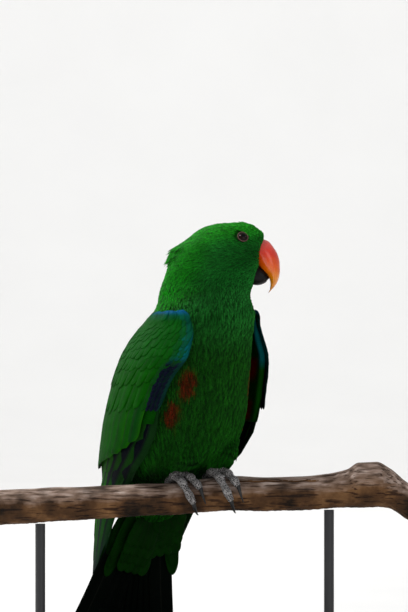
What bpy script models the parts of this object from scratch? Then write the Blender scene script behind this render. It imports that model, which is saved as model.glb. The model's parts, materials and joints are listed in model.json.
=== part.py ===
"""Male eclectus parrot, life size, gripping a cut length of branch on a plain display stand.

Sizes are in millimetres and are turned into metres when a mesh is made. +Z is up, the bird's
breast looks to -Y and +X, its head is turned to +X. x = 0 and y = 0 lie on the perch's axis
while the shapes are worked out; at the end everything moves so that the middle of the base of
the whole part's box is the origin.
"""
import math

import bmesh
import bpy
from mathutils import Vector

for old in list(bpy.data.objects):
    bpy.data.objects.remove(old)

MM = 0.001
GAP = 0.3                      # air between nodes that meet
BODY_HEADING = 42.0            # degrees from -Y toward +X
TAIL_HEADING = 27.0
BODY_SHIFT_X = -1.0            # where the body's middle plane crosses the perch
AROUND = 28                    # points in one ring of the trunk

NECK_TOP = 301.0
NECK_BASE = 283.0
RUMP_BASE = 118.0
SETBACK = 17.0                 # how far the lower body leans back to pass behind the perch
SETBACK_TOP = 178.0
SETBACK_FULL = 150.0
ARM_LEAST = 2.9                # from the torso to the outer face of a wing's arm

# height, forward, sideways, heading, half width, reach forward, reach back
TRUNK_STATIONS = (
    (356.5, 18.5, -15.8, 86.0, 6.0, 8.0, 7.0),
    (352.0, 15.9, -13.2, 86.0, 15.0, 18.5, 19.5),
    (345.0, 14.2, -11.4, 86.0, 22.5, 30.0, 27.5),
    (335.0, 12.2, -9.1, 86.0, 27.0, 33.0, 36.0),
    (322.0, 9.6, -6.2, 86.0, 29.0, 34.5, 38.5),
    (310.0, 6.2, -2.5, 82.0, 30.5, 36.0, 38.0),
    (303.0, 4.6, -0.6, 75.0, 32.5, 36.0, 38.0),
    (297.0, 3.0, 0.0, 62.0, 35.0, 37.0, 38.0),
    (290.0, 2.5, 0.0, 48.0, 38.0, 39.0, 39.5),
    (284.0, 2.0, 0.0, 42.0, 40.0, 41.0, 42.0),
    (262.0, -4.0, 0.0, 42.0, 42.0, 43.0, 52.0),
    (235.0, -10.0, 0.0, 42.0, 44.5, 45.0, 59.0),
    (205.0, -17.0, 0.0, 42.0, 46.0, 47.0, 62.0),
    (178.0, -25.0, 0.0, 42.0, 44.0, 43.0, 60.0),
    (155.0, -38.0, 0.0, 42.0, 38.0, 34.0, 48.0),
    (140.0, -50.0, 0.0, 42.0, 31.0, 24.0, 36.0),
    (118.0, -64.0, 0.0, 42.0, 21.0, 13.0, 18.0),
    (100.0, -69.0, 0.0, 42.0, 17.0, 10.0, 12.0),
    (60.0, -79.0, 0.0, 42.0, 14.0, 8.0, 8.0),
    (18.0, -90.0, 0.0, 42.0, 12.0, 6.0, 6.0),
)

# height, half width, reach back of the outer face of the wings' arms
WING_STATIONS = (
    (290.0, 34.0, 36.0),
    (284.0, 38.5, 43.0),
    (265.0, 48.5, 56.0),
    (246.0, 56.0, 64.0),
    (227.0, 59.0, 68.5),
    (200.0, 61.0, 70.0),
    (179.0, 58.0, 69.5),
    (162.0, 53.0, 66.0),
    (146.0, 47.0, 56.0),
    (117.0, 42.0, 46.0),
    (93.0, 38.5, 43.0),
    (55.0, 34.0, 38.0),
)

# height, leading edge and trailing edge as angles from straight ahead
WING_SPAN = (
    (284.0, 72.0, 140.0),
    (280.0, 63.0, 150.0),
    (274.0, 56.0, 159.0),
    (265.0, 51.0, 166.0),
    (252.0, 51.0, 169.0),
    (238.0, 58.0, 171.0),
    (222.0, 63.0, 172.5),
    (206.0, 65.0, 173.0),
    (181.0, 68.0, 173.0),
    (165.0, 78.0, 170.0),
    (147.0, 84.0, 165.0),
    (117.0, 92.0, 154.0),
    (93.0, 102.0, 145.0),
    (62.0, 115.0, 132.0),
)

# along, height of the axis, radius
PERCH_STATIONS = (
    (-168.0, 128.2, 14.6),
    (-115.0, 130.8, 14.1),
    (-88.0, 132.3, 13.7),
    (-30.0, 135.2, 13.2),
    (-6.0, 137.2, 13.7),
    (22.0, 139.4, 14.3),
    (66.0, 139.2, 14.0),
    (97.0, 141.0, 14.3),
    (114.0, 143.7, 15.8),
    (124.0, 146.6, 18.6),
    (138.0, 146.6, 18.6),
    (149.0, 143.2, 16.6),
    (162.0, 133.8, 15.4),
    (168.0, 130.4, 15.0),
)


class Profile:
    """Smooth values between stations that are keyed by their first number."""

    def __init__(self, rows):
        self.rows = sorted(rows)

    def at(self, key):
        rows = self.rows
        key = min(max(key, rows[0][0]), rows[-1][0])
        low = 0
        while low < len(rows) - 2 and rows[low + 1][0] < key:
            low += 1
        first, second = rows[low], rows[low + 1]
        step = second[0] - first[0]
        t = (key - first[0]) / step
        values = []
        for column in range(1, len(first)):
            rise = (second[column] - first[column]) / step
            left = self.slope(low, column, rise)
            right = self.slope(low + 1, column, rise)
            values.append(
                (2 * t ** 3 - 3 * t ** 2 + 1) * first[column]
                + (t ** 3 - 2 * t ** 2 + t) * step * left
                + (3 * t ** 2 - 2 * t ** 3) * second[column]
                + (t ** 3 - t ** 2) * step * right)
        return values

    def slope(self, index, column, rise):
        rows = self.rows
        if index == 0 or index == len(rows) - 1:
            return rise
        before, here, after = rows[index - 1], rows[index], rows[index + 1]
        first = (here[column] - before[column]) / (here[0] - before[0])
        second = (after[column] - here[column]) / (after[0] - here[0])
        if first * second <= 0:
            return 0.0
        return 2 * first * second / (first + second)


TRUNK = Profile(TRUNK_STATIONS)
WING = Profile(WING_STATIONS)
SPAN = Profile(WING_SPAN)
PERCH = Profile(PERCH_STATIONS)


def forward(heading):
    angle = math.radians(heading)
    return Vector((math.sin(angle), -math.cos(angle), 0.0))


def rightward(heading):
    angle = math.radians(heading)
    return Vector((-math.cos(angle), -math.sin(angle), 0.0))


def setback(z):
    """How far the body is moved away from the viewer at this height."""
    t = min(max((SETBACK_TOP - z) / (SETBACK_TOP - SETBACK_FULL), 0.0), 1.0)
    return SETBACK * t * t * (3 - 2 * t)


def bird(ahead, side, z):
    """A point from distances ahead of, and to the bird's own right of, its middle."""
    point = forward(BODY_HEADING) * ahead + rightward(BODY_HEADING) * side
    return point + Vector((BODY_SHIFT_X, setback(z), z))


def trunk_point(z, angle, grow=0.0):
    ahead, side, heading, wide, front, back = TRUNK.at(z)
    reach = front if math.cos(angle) > 0 else back
    centre = bird(ahead, side, z)
    return (centre + forward(heading) * ((reach + grow) * math.cos(angle))
            + rightward(heading) * ((wide + grow) * math.sin(angle)))


def wing_point(side, degrees, z, lift):
    """A point over the wing's arm: side is 1 for the bird's right and -1 for its left."""
    ahead = TRUNK.at(z)[0]
    wide, back = WING.at(z)
    trunk = TRUNK.at(z)
    wide = max(wide, trunk[3] + ARM_LEAST)
    back = max(back, trunk[5] + ARM_LEAST)
    angle = math.radians(degrees)
    reach = wide if math.cos(angle) > 0 else back
    return bird(ahead + (reach + lift) * math.cos(angle),
                side * (wide + lift) * math.sin(angle), z)


def material(name, colour, rough, metallic=0.0):
    made = bpy.data.materials.new(name)
    made.use_nodes = True
    shader = made.node_tree.nodes["Principled BSDF"]
    shader.inputs["Base Color"].default_value = (*colour, 1.0)
    shader.inputs["Roughness"].default_value = rough
    shader.inputs["Metallic"].default_value = metallic
    made.diffuse_color = (*colour, 1.0)
    return made


def make(name, points, faces, finish=None):
    """A linked object from points in millimetres, with its faces turned outward."""
    mesh = bpy.data.meshes.new(name)
    mesh.from_pydata([tuple(Vector(p) * MM) for p in points], [], faces)
    work = bmesh.new()
    work.from_mesh(mesh)
    bmesh.ops.recalc_face_normals(work, faces=work.faces)
    if work.calc_volume(signed=True) < 0:
        bmesh.ops.reverse_faces(work, faces=work.faces)
    work.to_mesh(mesh)
    work.free()
    built = bpy.data.objects.new(name, mesh)
    bpy.context.scene.collection.objects.link(built)
    if finish is not None:
        mesh.materials.append(finish)
    return built


def loft_data(rings, first_tip=None, last_tip=None):
    """Points and faces of a closed body through rings of as many points each."""
    count = len(rings[0])
    points = [p for ring in rings for p in ring]
    faces = []
    for r in range(len(rings) - 1):
        for k in range(count):
            a = r * count + k
            b = r * count + (k + 1) % count
            faces.append((a, b, b + count))
            faces.append((a, b + count, a + count))
    for tip, ring in ((first_tip, 0), (last_tip, len(rings) - 1)):
        edge = [ring * count + k for k in range(count)]
        if tip is None:
            tip = sum((Vector(points[k]) for k in edge), Vector()) / count
        points.append(tip)
        apex = len(points) - 1
        for k in range(count):
            faces.append((edge[k], edge[(k + 1) % count], apex))
    return points, faces


def loft(name, rings, finish=None, first_tip=None, last_tip=None):
    return make(name, *loft_data(rings, first_tip, last_tip), finish)


def frames(path):
    """A direction and two cross directions at each point of a path, turned as little as can be."""
    result = []
    across = None
    for i, point in enumerate(path):
        ahead = path[min(i + 1, len(path) - 1)] - path[max(i - 1, 0)]
        ahead.normalize()
        if across is None:
            across = ahead.orthogonal().normalized()
        across = (across - ahead * across.dot(ahead)).normalized()
        result.append((ahead, across, ahead.cross(across)))
    return result


def tube(name, path, radii, sides=10, finish=None, tip=False):
    path = [Vector(p) for p in path]
    rings = []
    for point, radius, (_, across, up) in zip(path, radii, frames(path)):
        rings.append([point + (across * math.cos(a) + up * math.sin(a)) * radius
                      for a in (math.tau * k / sides for k in range(sides))])
    last = None
    if tip:
        last = rings[-1][0] * 0 + path[-1] + (path[-1] - path[-2]).normalized() * radii[-1]
    return loft(name, rings, finish, last_tip=last)


def slab(name, outer, inner, finish=None):
    """A closed sheet between two grids of points that are split into triangles alike."""
    rows, columns = len(outer), len(outer[0])
    points = [p for row in outer for p in row] + [p for row in inner for p in row]
    below = rows * columns
    faces = []
    for r in range(rows - 1):
        for c in range(columns - 1):
            a, b = r * columns + c, r * columns + c + 1
            d, e = a + columns, b + columns
            for one, two, three in ((a, b, e), (a, e, d)):
                faces.append((one, two, three))
                faces.append((one + below, three + below, two + below))
    rim = [c for c in range(columns)]
    rim += [r * columns + columns - 1 for r in range(1, rows)]
    rim += [(rows - 1) * columns + c for c in range(columns - 2, -1, -1)]
    rim += [r * columns for r in range(rows - 2, 0, -1)]
    for k, a in enumerate(rim):
        b = rim[(k + 1) % len(rim)]
        faces.append((a, b, b + below))
        faces.append((a, b + below, a + below))
    return make(name, points, faces, finish)


def replace_mesh(target, modifier_name):
    graph = bpy.context.evaluated_depsgraph_get()
    fresh = bpy.data.meshes.new_from_object(target.evaluated_get(graph))
    target.modifiers.remove(target.modifiers[modifier_name])
    target.data = fresh


def keep_largest(target):
    """Drops every closed surface of a mesh but the one round the most space."""
    work = bmesh.new()
    work.from_mesh(target.data)
    bmesh.ops.remove_doubles(work, verts=work.verts, dist=0.000002)
    bmesh.ops.triangulate(work, faces=work.faces)
    seen, islands = set(), []
    for start in work.faces:
        if start in seen:
            continue
        island, stack = [], [start]
        seen.add(start)
        while stack:
            face = stack.pop()
            island.append(face)
            for edge in face.edges:
                for other in edge.link_faces:
                    if other not in seen:
                        seen.add(other)
                        stack.append(other)
        islands.append(island)

    def volume(island):
        total = 0.0
        for face in island:
            a, b, c = (v.co for v in face.verts)
            total += a.dot(b.cross(c))
        return abs(total)

    islands.sort(key=volume)
    spare = [face for island in islands[:-1] for face in island]
    bmesh.ops.delete(work, geom=spare, context="FACES")
    work.to_mesh(target.data)
    work.free()


def cut(target, cutter, solver="EXACT"):
    """Takes one closed body out of another and removes the first."""
    change = target.modifiers.new("cut", "BOOLEAN")
    change.operation = "DIFFERENCE"
    change.solver = solver
    change.object = cutter
    replace_mesh(target, "cut")
    bpy.data.objects.remove(cutter)
    keep_largest(target)


def fuse(target, pieces, solver="MANIFOLD"):
    """Joins closed bodies to another by one Boolean union on their collection."""
    group = bpy.data.collections.new(target.name + "_pieces")
    bpy.context.scene.collection.children.link(group)
    for piece in pieces:
        bpy.context.scene.collection.objects.unlink(piece)
        group.objects.link(piece)
    change = target.modifiers.new("fuse", "BOOLEAN")
    change.operation = "UNION"
    change.operand_type = "COLLECTION"
    change.solver = solver
    change.collection = group
    finish = target.data.materials[0]
    replace_mesh(target, "fuse")
    for piece in pieces:
        bpy.data.objects.remove(piece)
    bpy.data.collections.remove(group)
    target.data.materials.clear()
    target.data.materials.append(finish)
    for face in target.data.polygons:
        face.material_index = 0
    keep_largest(target)


GREEN_HEAD = material("green_head", (0.011, 0.178, 0.013), 0.62)
GREEN_BODY = material("green_body", (0.012, 0.095, 0.011), 0.7)
GREEN_WING = material("green_wing", (0.014, 0.105, 0.020), 0.58)
BLACK_TAIL = material("black_tail", (0.006, 0.008, 0.008), 0.6)
BILL_ORANGE = material("bill_orange", (0.70, 0.10, 0.02), 0.25)
BILL_BLACK = material("bill_black", (0.008, 0.007, 0.006), 0.35)
EYE_DARK = material("eye_dark", (0.012, 0.005, 0.004), 0.06)
SCALE_GREY = material("scale_grey", (0.055, 0.047, 0.038), 0.6)
CLAW_BLACK = material("claw_black", (0.012, 0.011, 0.010), 0.4)
BARK = material("bark", (0.21, 0.17, 0.15), 0.9)
STAND_PAINT = material("stand_paint", (0.045, 0.045, 0.048), 0.5)


def trunk_rings(levels, grow=0.0):
    steps = [math.tau * k / AROUND for k in range(AROUND)]
    return [[trunk_point(z, a, grow) for a in steps] for z in levels]


# Trunk: head, neck and torso share one surface

HEAD_LEVELS = (306.0, 312.0, 319.0, 326.0, 333.0, 339.0, 344.0, 348.5, 352.0, 354.8, 356.5)
TORSO_LEVELS = (125.0, 132.0, 140.0, 148.0, 157.0, 168.0, 180.0, 195.0, 212.0, 230.0, 248.0,
                262.0, 273.0)
CROWN_TOP = 357.6


def head_form(name, grow=0.0, finish=None):
    base = NECK_TOP + GAP / 2 - grow
    rings = trunk_rings((base,) + HEAD_LEVELS, grow)
    ahead, side = TRUNK.at(HEAD_LEVELS[-1])[:2]
    return loft(name, rings, finish, last_tip=bird(ahead, side, CROWN_TOP + grow))


def torso_form(name, grow=0.0, finish=None):
    base, top = RUMP_BASE + GAP / 2 - grow, NECK_BASE - GAP / 2 + grow
    return loft(name, trunk_rings((base,) + TORSO_LEVELS + (top,), grow), finish)


def perch_rings(grow=0.0, sides=16):
    rings = []
    left, right = PERCH_STATIONS[0][0], PERCH_STATIONS[-1][0]
    steps = 24
    for i in range(steps + 1):
        x = left + (right - left) * i / steps
        z, radius = PERCH.at(x)
        ring = []
        for k in range(sides):
            a = math.tau * k / sides
            rough = 0.25 * math.sin(3 * a + 0.09 * x) + 0.2 * math.sin(5 * a - 0.17 * x)
            reach = radius - 0.45 + rough + grow
            ring.append(Vector((x, reach * math.sin(a), z + reach * math.cos(a))))
        rings.append(ring)
    return rings


torso = torso_form("torso", finish=GREEN_BODY)
neck = loft("neck", trunk_rings((NECK_BASE + GAP / 2, 290.0, 296.0, NECK_TOP - GAP / 2)),
            GREEN_HEAD)
head = head_form("head", finish=GREEN_HEAD)
cut(torso, loft("perch_room", perch_rings(grow=1.5)))

# Eyes, their sockets and lid rings

EYE_RADIUS = 4.5
EYE_HEIGHT = 345.0
EYE_ALONG = 15.5               # ahead of the head's own middle
EYE_PROUD = 1.5                # how far the ball stands out of the feathers
LID_RADIUS = 4.95
LID_THICK = 0.8


def eye_place(side):
    """Middle of an eyeball and the direction it looks in."""
    wide, front = TRUNK.at(EYE_HEIGHT)[3:5]
    angle = math.acos(EYE_ALONG / front)
    skin = trunk_point(EYE_HEIGHT, angle * side)
    along = trunk_point(EYE_HEIGHT, (angle + 0.05) * side) - skin
    up = trunk_point(EYE_HEIGHT + 1.0, angle * side) - skin
    out = along.cross(up).normalized()
    middle = trunk_point(EYE_HEIGHT, 0.0) - skin
    if out.dot(middle) > 0:
        out.negate()
    return skin - out * (EYE_RADIUS - EYE_PROUD), out


def ball_rings(centre, axis, radius, sides, rows):
    across = axis.orthogonal().normalized()
    other = axis.cross(across)
    rings = []
    for r in range(1, rows):
        tilt = math.pi * r / rows
        ring = []
        for k in range(sides):
            a = math.tau * k / sides
            spoke = across * math.cos(a) + other * math.sin(a)
            ring.append(centre + (axis * math.cos(tilt) + spoke * math.sin(tilt)) * radius)
        rings.append(ring)
    return rings


def ball(name, centre, axis, radius, finish=None, sides=14, rows=8):
    rings = ball_rings(centre, axis, radius, sides, rows)
    return loft(name, rings, finish, centre + axis * radius, centre - axis * radius)


def lid_ring(name, centre, axis, radius, thick, sides=18, around=6):
    across = axis.orthogonal().normalized()
    other = axis.cross(across)
    points, faces = [], []
    for k in range(sides):
        a = math.tau * k / sides
        spoke = across * math.cos(a) + other * math.sin(a)
        for j in range(around):
            b = math.tau * j / around
            points.append(centre + spoke * (radius + thick * math.cos(b))
                          + axis * thick * math.sin(b))
    for k in range(sides):
        for j in range(around):
            a, b = k * around + j, k * around + (j + 1) % around
            c, d = (a + around) % len(points), (b + around) % len(points)
            faces.append((a, b, d))
            faces.append((a, d, c))
    return make(name, points, faces)


LID_LEVEL = 2.6                # of the lid ring above the ball's middle
for side, word in ((1, "right"), (-1, "left")):
    centre, axis = eye_place(side)
    ring = lid_ring("lid", centre + axis * LID_LEVEL, axis, LID_RADIUS, LID_THICK)
    fuse(head, [ring], "EXACT")
for side, word in ((1, "right"), (-1, "left")):
    centre, axis = eye_place(side)
    cut(head, ball("socket", centre, axis, EYE_RADIUS + GAP))
    ball("eye_" + word, centre, axis, EYE_RADIUS, EYE_DARK)

# Bill

# outer edge x and height, inner edge x and height, half width
UPPER_BILL = (
    (46.0, 343.5, 36.0, 328.0, 8.5),
    (51.2, 341.6, 41.0, 325.0, 10.0),
    (55.6, 336.6, 43.4, 322.0, 10.6),
    (59.0, 330.6, 45.0, 319.6, 10.6),
    (60.6, 324.0, 47.2, 317.2, 9.9),
    (60.8, 317.6, 50.2, 314.6, 8.6),
    (60.0, 312.2, 52.4, 310.6, 6.6),
    (58.2, 307.8, 53.0, 306.6, 4.4),
    (55.4, 303.8, 52.6, 303.0, 2.4),
)
BILL_TIP = (51.2, 299.6)
LOWER_BILL = (
    (37.0, 306.8, 38.0, 322.0, 8.6),
    (42.6, 306.2, 43.6, 320.0, 8.4),
    (46.8, 307.0, 47.2, 317.6, 7.5),
    (50.0, 308.8, 50.2, 315.6, 5.6),
)
CHIN_TIP = (52.6, 312.4)
BILL_HEADING = 86.0


def bill_rings(rows, grow=0.0, sides=16):
    middle = bird(*TRUNK.at(325.0)[:2], 325.0).y
    rings = []
    for x1, z1, x2, z2, wide in rows:
        outer, inner = Vector((x1, middle, z1)), Vector((x2, middle, z2))
        mid, arm = (outer + inner) / 2, (outer - inner) / 2
        arm = arm.normalized() * (arm.length + grow)
        ring = []
        for k in range(sides):
            a = math.tau * k / sides
            keel = 1.0 - 0.16 * max(math.cos(a), 0.0) ** 2
            ring.append(mid + arm * math.cos(a)
                        + Vector((0.0, -(wide + grow) * math.sin(a) * keel, 0.0)))
        rings.append(ring)
    return rings


def bill_form(name, rows, tip, finish=None, grow=0.0):
    middle = bird(*TRUNK.at(325.0)[:2], 325.0).y
    last = Vector((tip[0], middle, tip[1]))
    return loft(name, bill_rings(rows, grow), finish, last_tip=last)


upper = bill_form("bill_upper", UPPER_BILL, BILL_TIP, BILL_ORANGE)
cut(upper, head_form("head_room", GAP))
lower = bill_form("bill_lower", LOWER_BILL, CHIN_TIP, BILL_BLACK)
cut(lower, bill_form("upper_room", UPPER_BILL, BILL_TIP, grow=GAP))
cut(lower, head_form("head_room", GAP))

# Perch and its stand

perch = loft("perch", perch_rings(), BARK)

BASE_LONG = 300.0
BASE_DEEP = 176.0
BASE_MIDDLE_Y = 22.0
BASE_THICK = 14.0
BASE_CORNER = 26.0
BASE_BEVEL = 1.5
ROD_RADIUS = 4.0
ROD_PLACES = (("left", -131.0), ("right", 100.0))


def base_ring(inset, z):
    ring = []
    for k in range(32):
        a = math.tau * k / 32
        way = Vector((math.cos(a), math.sin(a)))
        corner = Vector((math.copysign(BASE_LONG / 2 - BASE_CORNER, way.x),
                         math.copysign(BASE_DEEP / 2 - BASE_CORNER, way.y)))
        ring.append(Vector((corner.x + way.x * (BASE_CORNER - inset),
                            BASE_MIDDLE_Y + corner.y + way.y * (BASE_CORNER - inset), z)))
    return ring


loft("stand_base", [base_ring(BASE_BEVEL, 0.0), base_ring(0.0, BASE_BEVEL),
                    base_ring(0.0, BASE_THICK - BASE_BEVEL),
                    base_ring(BASE_BEVEL, BASE_THICK)], STAND_PAINT)
for word, x in ROD_PLACES:
    axis_height, radius = PERCH.at(x)
    rod_top = axis_height - radius - GAP
    tube("stand_rod_" + word, [(x, 0.0, BASE_THICK + GAP), (x, 0.0, rod_top)],
         [ROD_RADIUS] * 2, 16, STAND_PAINT)

# Feet: two toes forward and two back round the perch, with their claws

TOE_RADIUS = 3.6
CLAW_RADIUS = 1.75
TOE_CLEAR = 0.55               # between toe and bark, over the bark's own roughness
PALM_HEIGHT = 5.2
# foot, where its palm stands along the perch
FEET = (("right", -20.0), ("left", 10.0))
# start and end along the perch from the palm, angle round it at the last joint,
# angle of the claw's tip; angles go from the top toward the viewer
TOES = (
    ("front_outer", -3.4, 11.5, 104.0, 158.0),
    ("front_inner", 4.4, 17.0, 66.0, 112.0),
    ("rear_outer", -4.0, -13.0, -92.0, -140.0),
    ("rear_inner", 4.0, -3.5, -66.0, -112.0),
)


def round_perch(x, degrees, height):
    """A point at a height over the bark, at an angle from the top toward the viewer."""
    z, radius = PERCH.at(x)
    a = math.radians(degrees)
    reach = radius + height
    return Vector((x, -reach * math.sin(a), z + reach * math.cos(a)))


def toe_path(palm_x, start, end, last_angle):
    path, radii = [], []
    for i in range(8):
        t = i / 7
        x = palm_x + start + (end - start) * t
        swell = 0.32 * math.cos(math.tau * 2.5 * t)
        radius = TOE_RADIUS * (1.0 - 0.14 * t) + swell
        angle = last_angle * (0.04 + 0.96 * t)
        path.append(round_perch(x, angle, radius + TOE_CLEAR))
        radii.append(radius)
    return path, radii


def claw_path(palm_x, start, end, last_angle, tip_angle):
    path, radii = [], []
    slope = (end - start) / abs(last_angle)
    for i in range(7):
        t = i / 6
        angle = last_angle + (tip_angle - last_angle) * t
        x = palm_x + end + slope * abs(angle - last_angle) * 0.5
        radius = CLAW_RADIUS * (1.0 - 0.86 * t) + 0.1
        height = TOE_CLEAR + TOE_RADIUS * 0.8 * (1.0 - t) + 1.6 * t + 2.0 * t * (1 - t)
        path.append(round_perch(x, angle, height))
        radii.append(radius)
    return path, radii


def thigh_path(palm_x, side, grow=0.0):
    """The middle line and thickness of the feathered lobe between the belly and a foot."""
    top = bird(5.0, side * 20.0, 194.0)
    knee = bird(5.0, side * 16.5, 178.0)
    low = Vector((palm_x, 4.0, 165.5))
    path = [top, knee.lerp(low, 0.3), knee.lerp(low, 0.75), low, low + Vector((0, -1.0, -3.6))]
    return path, [r + grow for r in (17.5, 16.0, 12.6, 9.4, 6.6)]


def foot_form(name, palm_x, grow=0.0, finish=None):
    """Shank, palm and four toes in one body."""
    palm = round_perch(palm_x, 0.0, PALM_HEIGHT)
    ankle = Vector((palm_x, 3.6, 161.4 + grow))
    start = palm + Vector((0.0, 0.5, -0.6))
    foot = tube(name, [start, palm.lerp(ankle, 0.5), ankle],
                [4.9 + grow, 4.4 + grow, 4.2 + grow], 12, finish or SCALE_GREY)
    pieces = [ball("palm", palm, Vector((0, 0, 1)), PALM_HEIGHT - TOE_CLEAR + grow)]
    for toe, start, end, last_angle, _ in TOES:
        path, radii = toe_path(palm_x, start, end, last_angle)
        pieces.append(tube(toe, path, [r + grow for r in radii], 8, tip=True))
    fuse(foot, pieces)
    return foot


for word, palm_x in FEET:
    side = 1 if word == "right" else -1
    thigh = tube("thigh_" + word, *thigh_path(palm_x, side), 16, GREEN_BODY)
    cut(thigh, torso_form("torso_room", GAP))
    cut(thigh, loft("perch_room", perch_rings(grow=1.5)))
    cut(thigh, foot_form("foot_room", palm_x, GAP))
    cut(torso, foot_form("foot_room", palm_x, GAP))
    foot = foot_form("foot_" + word, palm_x)
    for toe, start, end, last_angle, tip_angle in TOES:
        path, radii = claw_path(palm_x, start, end, last_angle, tip_angle)
        grown = [r + GAP for r in radii]
        cut(foot, tube("claw_room", [path[0] * 2 - path[1]] + path, [grown[0]] + grown, 10))
        tube("claw_" + word + "_" + toe, path, radii, 7, CLAW_BLACK, tip=True)
cut(bpy.data.objects["thigh_right"], tube("thigh_room", *thigh_path(FEET[1][1], -1, GAP), 16))

# Vanes

ARM_THICK = 4.6
ARM_CLEAR = 0.8                # room for the flat facets of arm and torso to pass each other

VANE_THICK = 1.0
VANE_RISE = 1.06               # how much higher each vane lies than the one it overlaps
STEEPEST = 0.36
# distance along, share of the width, share of the thickness
LONG_VANE = ((0.0, 0.55, 0.9), (0.25, 0.92, 1.0), (0.55, 1.0, 1.0), (0.82, 0.84, 0.85),
             (1.0, 0.14, 0.45))
HAND_VANE = ((0.0, 0.55, 0.9), (0.13, 0.92, 1.0), (0.5, 1.0, 1.0), (0.82, 0.84, 0.85),
             (1.0, 0.14, 0.45))
SHORT_VANE = ((0.0, 0.5, 0.9), (0.3, 0.95, 1.0), (0.76, 0.9, 0.9), (1.0, 0.2, 0.45))


def vane(name, sections):
    """A closed blade through sections of left edge, ridge, right edge and underside."""
    points = [p for section in sections for p in section]
    faces = []
    for r in range(len(sections) - 1):
        base, after = 4 * r, 4 * r + 4
        for edge in (0, 2):
            for middle in (1, 3):
                faces.append((base + edge, base + middle, after + middle))
                faces.append((base + edge, after + middle, after + edge))
    last = 4 * (len(sections) - 1)
    for base in (0, last):
        faces.append((base, base + 1, base + 3))
        faces.append((base + 1, base + 2, base + 3))
    return make(name, points, faces)


def mm_per_degree(z):
    return WING.at(z)[0] * math.pi / 180


def arm_depth(z):
    """How thick the wing's arm can be before it meets the torso."""
    wide, back = WING.at(z)
    trunk = TRUNK.at(z)
    room = min(max(wide - trunk[3], ARM_LEAST), max(back - trunk[5], ARM_LEAST))
    return min(ARM_THICK, room - ARM_CLEAR)


class Quill:
    """One feather's path over the wing, from its root to its tip."""

    def __init__(self, root, tip, width, lifts, shape=LONG_VANE):
        self.root_z, self.root_q = root
        self.tip_z, self.tip_q = tip
        self.width = width
        self.lifts = lifts
        self.shape = shape

    def across(self, z):
        """Where the feather's line crosses a height, from 0 at the leading edge to 1."""
        t = (self.root_z - z) / (self.root_z - self.tip_z)
        return self.root_q + (self.tip_q - self.root_q) * min(max(t, 0.0), 1.0)

    def degrees(self, z):
        front, back = SPAN.at(z)
        return front + (back - front) * self.across(z)


def wing_vane(side, quill, neighbour):
    """A vane over the wing, tilted so that it lies over its neighbour toward the front."""
    sections = []
    for (t, wide, full), lift in zip(quill.shape, quill.lifts):
        z = quill.root_z + (quill.tip_z - quill.root_z) * t
        degrees = quill.degrees(z)
        scale = mm_per_degree(z)
        pitch = max(abs(neighbour.degrees(z) - degrees) * scale, 0.5)
        slope = min(VANE_RISE / pitch, STEEPEST)
        half = quill.width / 2 * wide
        thick = VANE_THICK * full / 2
        if t == 0.0:
            depth = arm_depth(z)
            lift = -depth / 2
            slope = min(slope, 0.16 * depth / half)
            thick = min(thick, depth * 0.22)
        run = (quill.degrees(z - 1.0) - quill.degrees(z + 1.0)) / 2 * scale
        lean = run / math.hypot(run, 1.0)
        flat = 1.0 / math.hypot(run, 1.0)
        place = []
        for step, up in ((-half, 0.0), (0.0, thick), (half, 0.0), (0.0, -thick)):
            place.append(wing_point(side, degrees + step * flat / scale, z + step * lean,
                                    lift - slope * step + up))
        sections.append(place)
    return vane("vane", sections)


def tier(side, count, root_z, tip_z, q_range, width, lifts, droop=0.0):
    """One row of vanes; droop lowers the tips in the middle of the row."""
    row = []
    for i in range(count):
        t = i / (count - 1)
        q = q_range[0] + (q_range[1] - q_range[0]) * t
        wave = droop * math.sin(math.pi * t) + 0.8 * math.sin(2.4 * i + root_z)
        row.append(Quill((root_z, q), (tip_z - wave, q), width, lifts, SHORT_VANE))
    return lay(side, row)


def lay(side, row):
    return [wing_vane(side, quill, row[i - 1] if i else row[1]) for i, quill in enumerate(row)]


# tip height and place across the wing's tip of each primary, outermost first
PRIMARIES = ((76.0, 0.08), (66.0, 0.30), (62.0, 0.55), (68.0, 0.80), (82.0, 0.88), (98.0, 0.90),
             (113.0, 0.90), (128.0, 0.88), (142.0, 0.86))
SECONDARY_TIPS = (181.0, 175.0, 169.0, 164.0, 160.0, 157.0, 156.0, 158.0, 162.0, 168.0)


def wing_quills(side):
    """Every feather of one wing, tier by tier."""
    pieces = []
    row = []
    for i, (tip_z, tip_q) in enumerate(PRIMARIES):
        row.append(Quill((218.0 - i * 0.8, 0.05 + 0.066 * i), (tip_z, tip_q), 14.0,
                         (0.0, -2.3, -2.3, -2.3, -2.3), HAND_VANE))
    pieces += lay(side, row)
    row = []
    for i, tip_z in enumerate(SECONDARY_TIPS):
        q = 0.2 + 0.77 * i / (len(SECONDARY_TIPS) - 1)
        row.append(Quill((230.0, q), (tip_z, q), 18.0, (0.0, 1.5, 1.6, 1.7, 1.8)))
    pieces += lay(side, row)
    pieces += tier(side, 3, 240.0, 196.0, (0.04, 0.16), 10.0, (0.0, 1.5, 2.1, 2.6))
    pieces += tier(side, 8, 257.0, 213.0, (0.06, 0.95), 20.5, (0.0, 1.7, 3.6, 4.5), 3.0)
    pieces += tier(side, 7, 270.0, 239.0, (0.06, 0.93), 20.5, (0.0, 1.6, 3.5, 4.5), 2.0)
    pieces += tier(side, 7, 279.5, 257.0, (0.08, 0.91), 19.0, (0.0, 1.4, 3.4, 4.3), 1.0)
    return pieces


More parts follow.
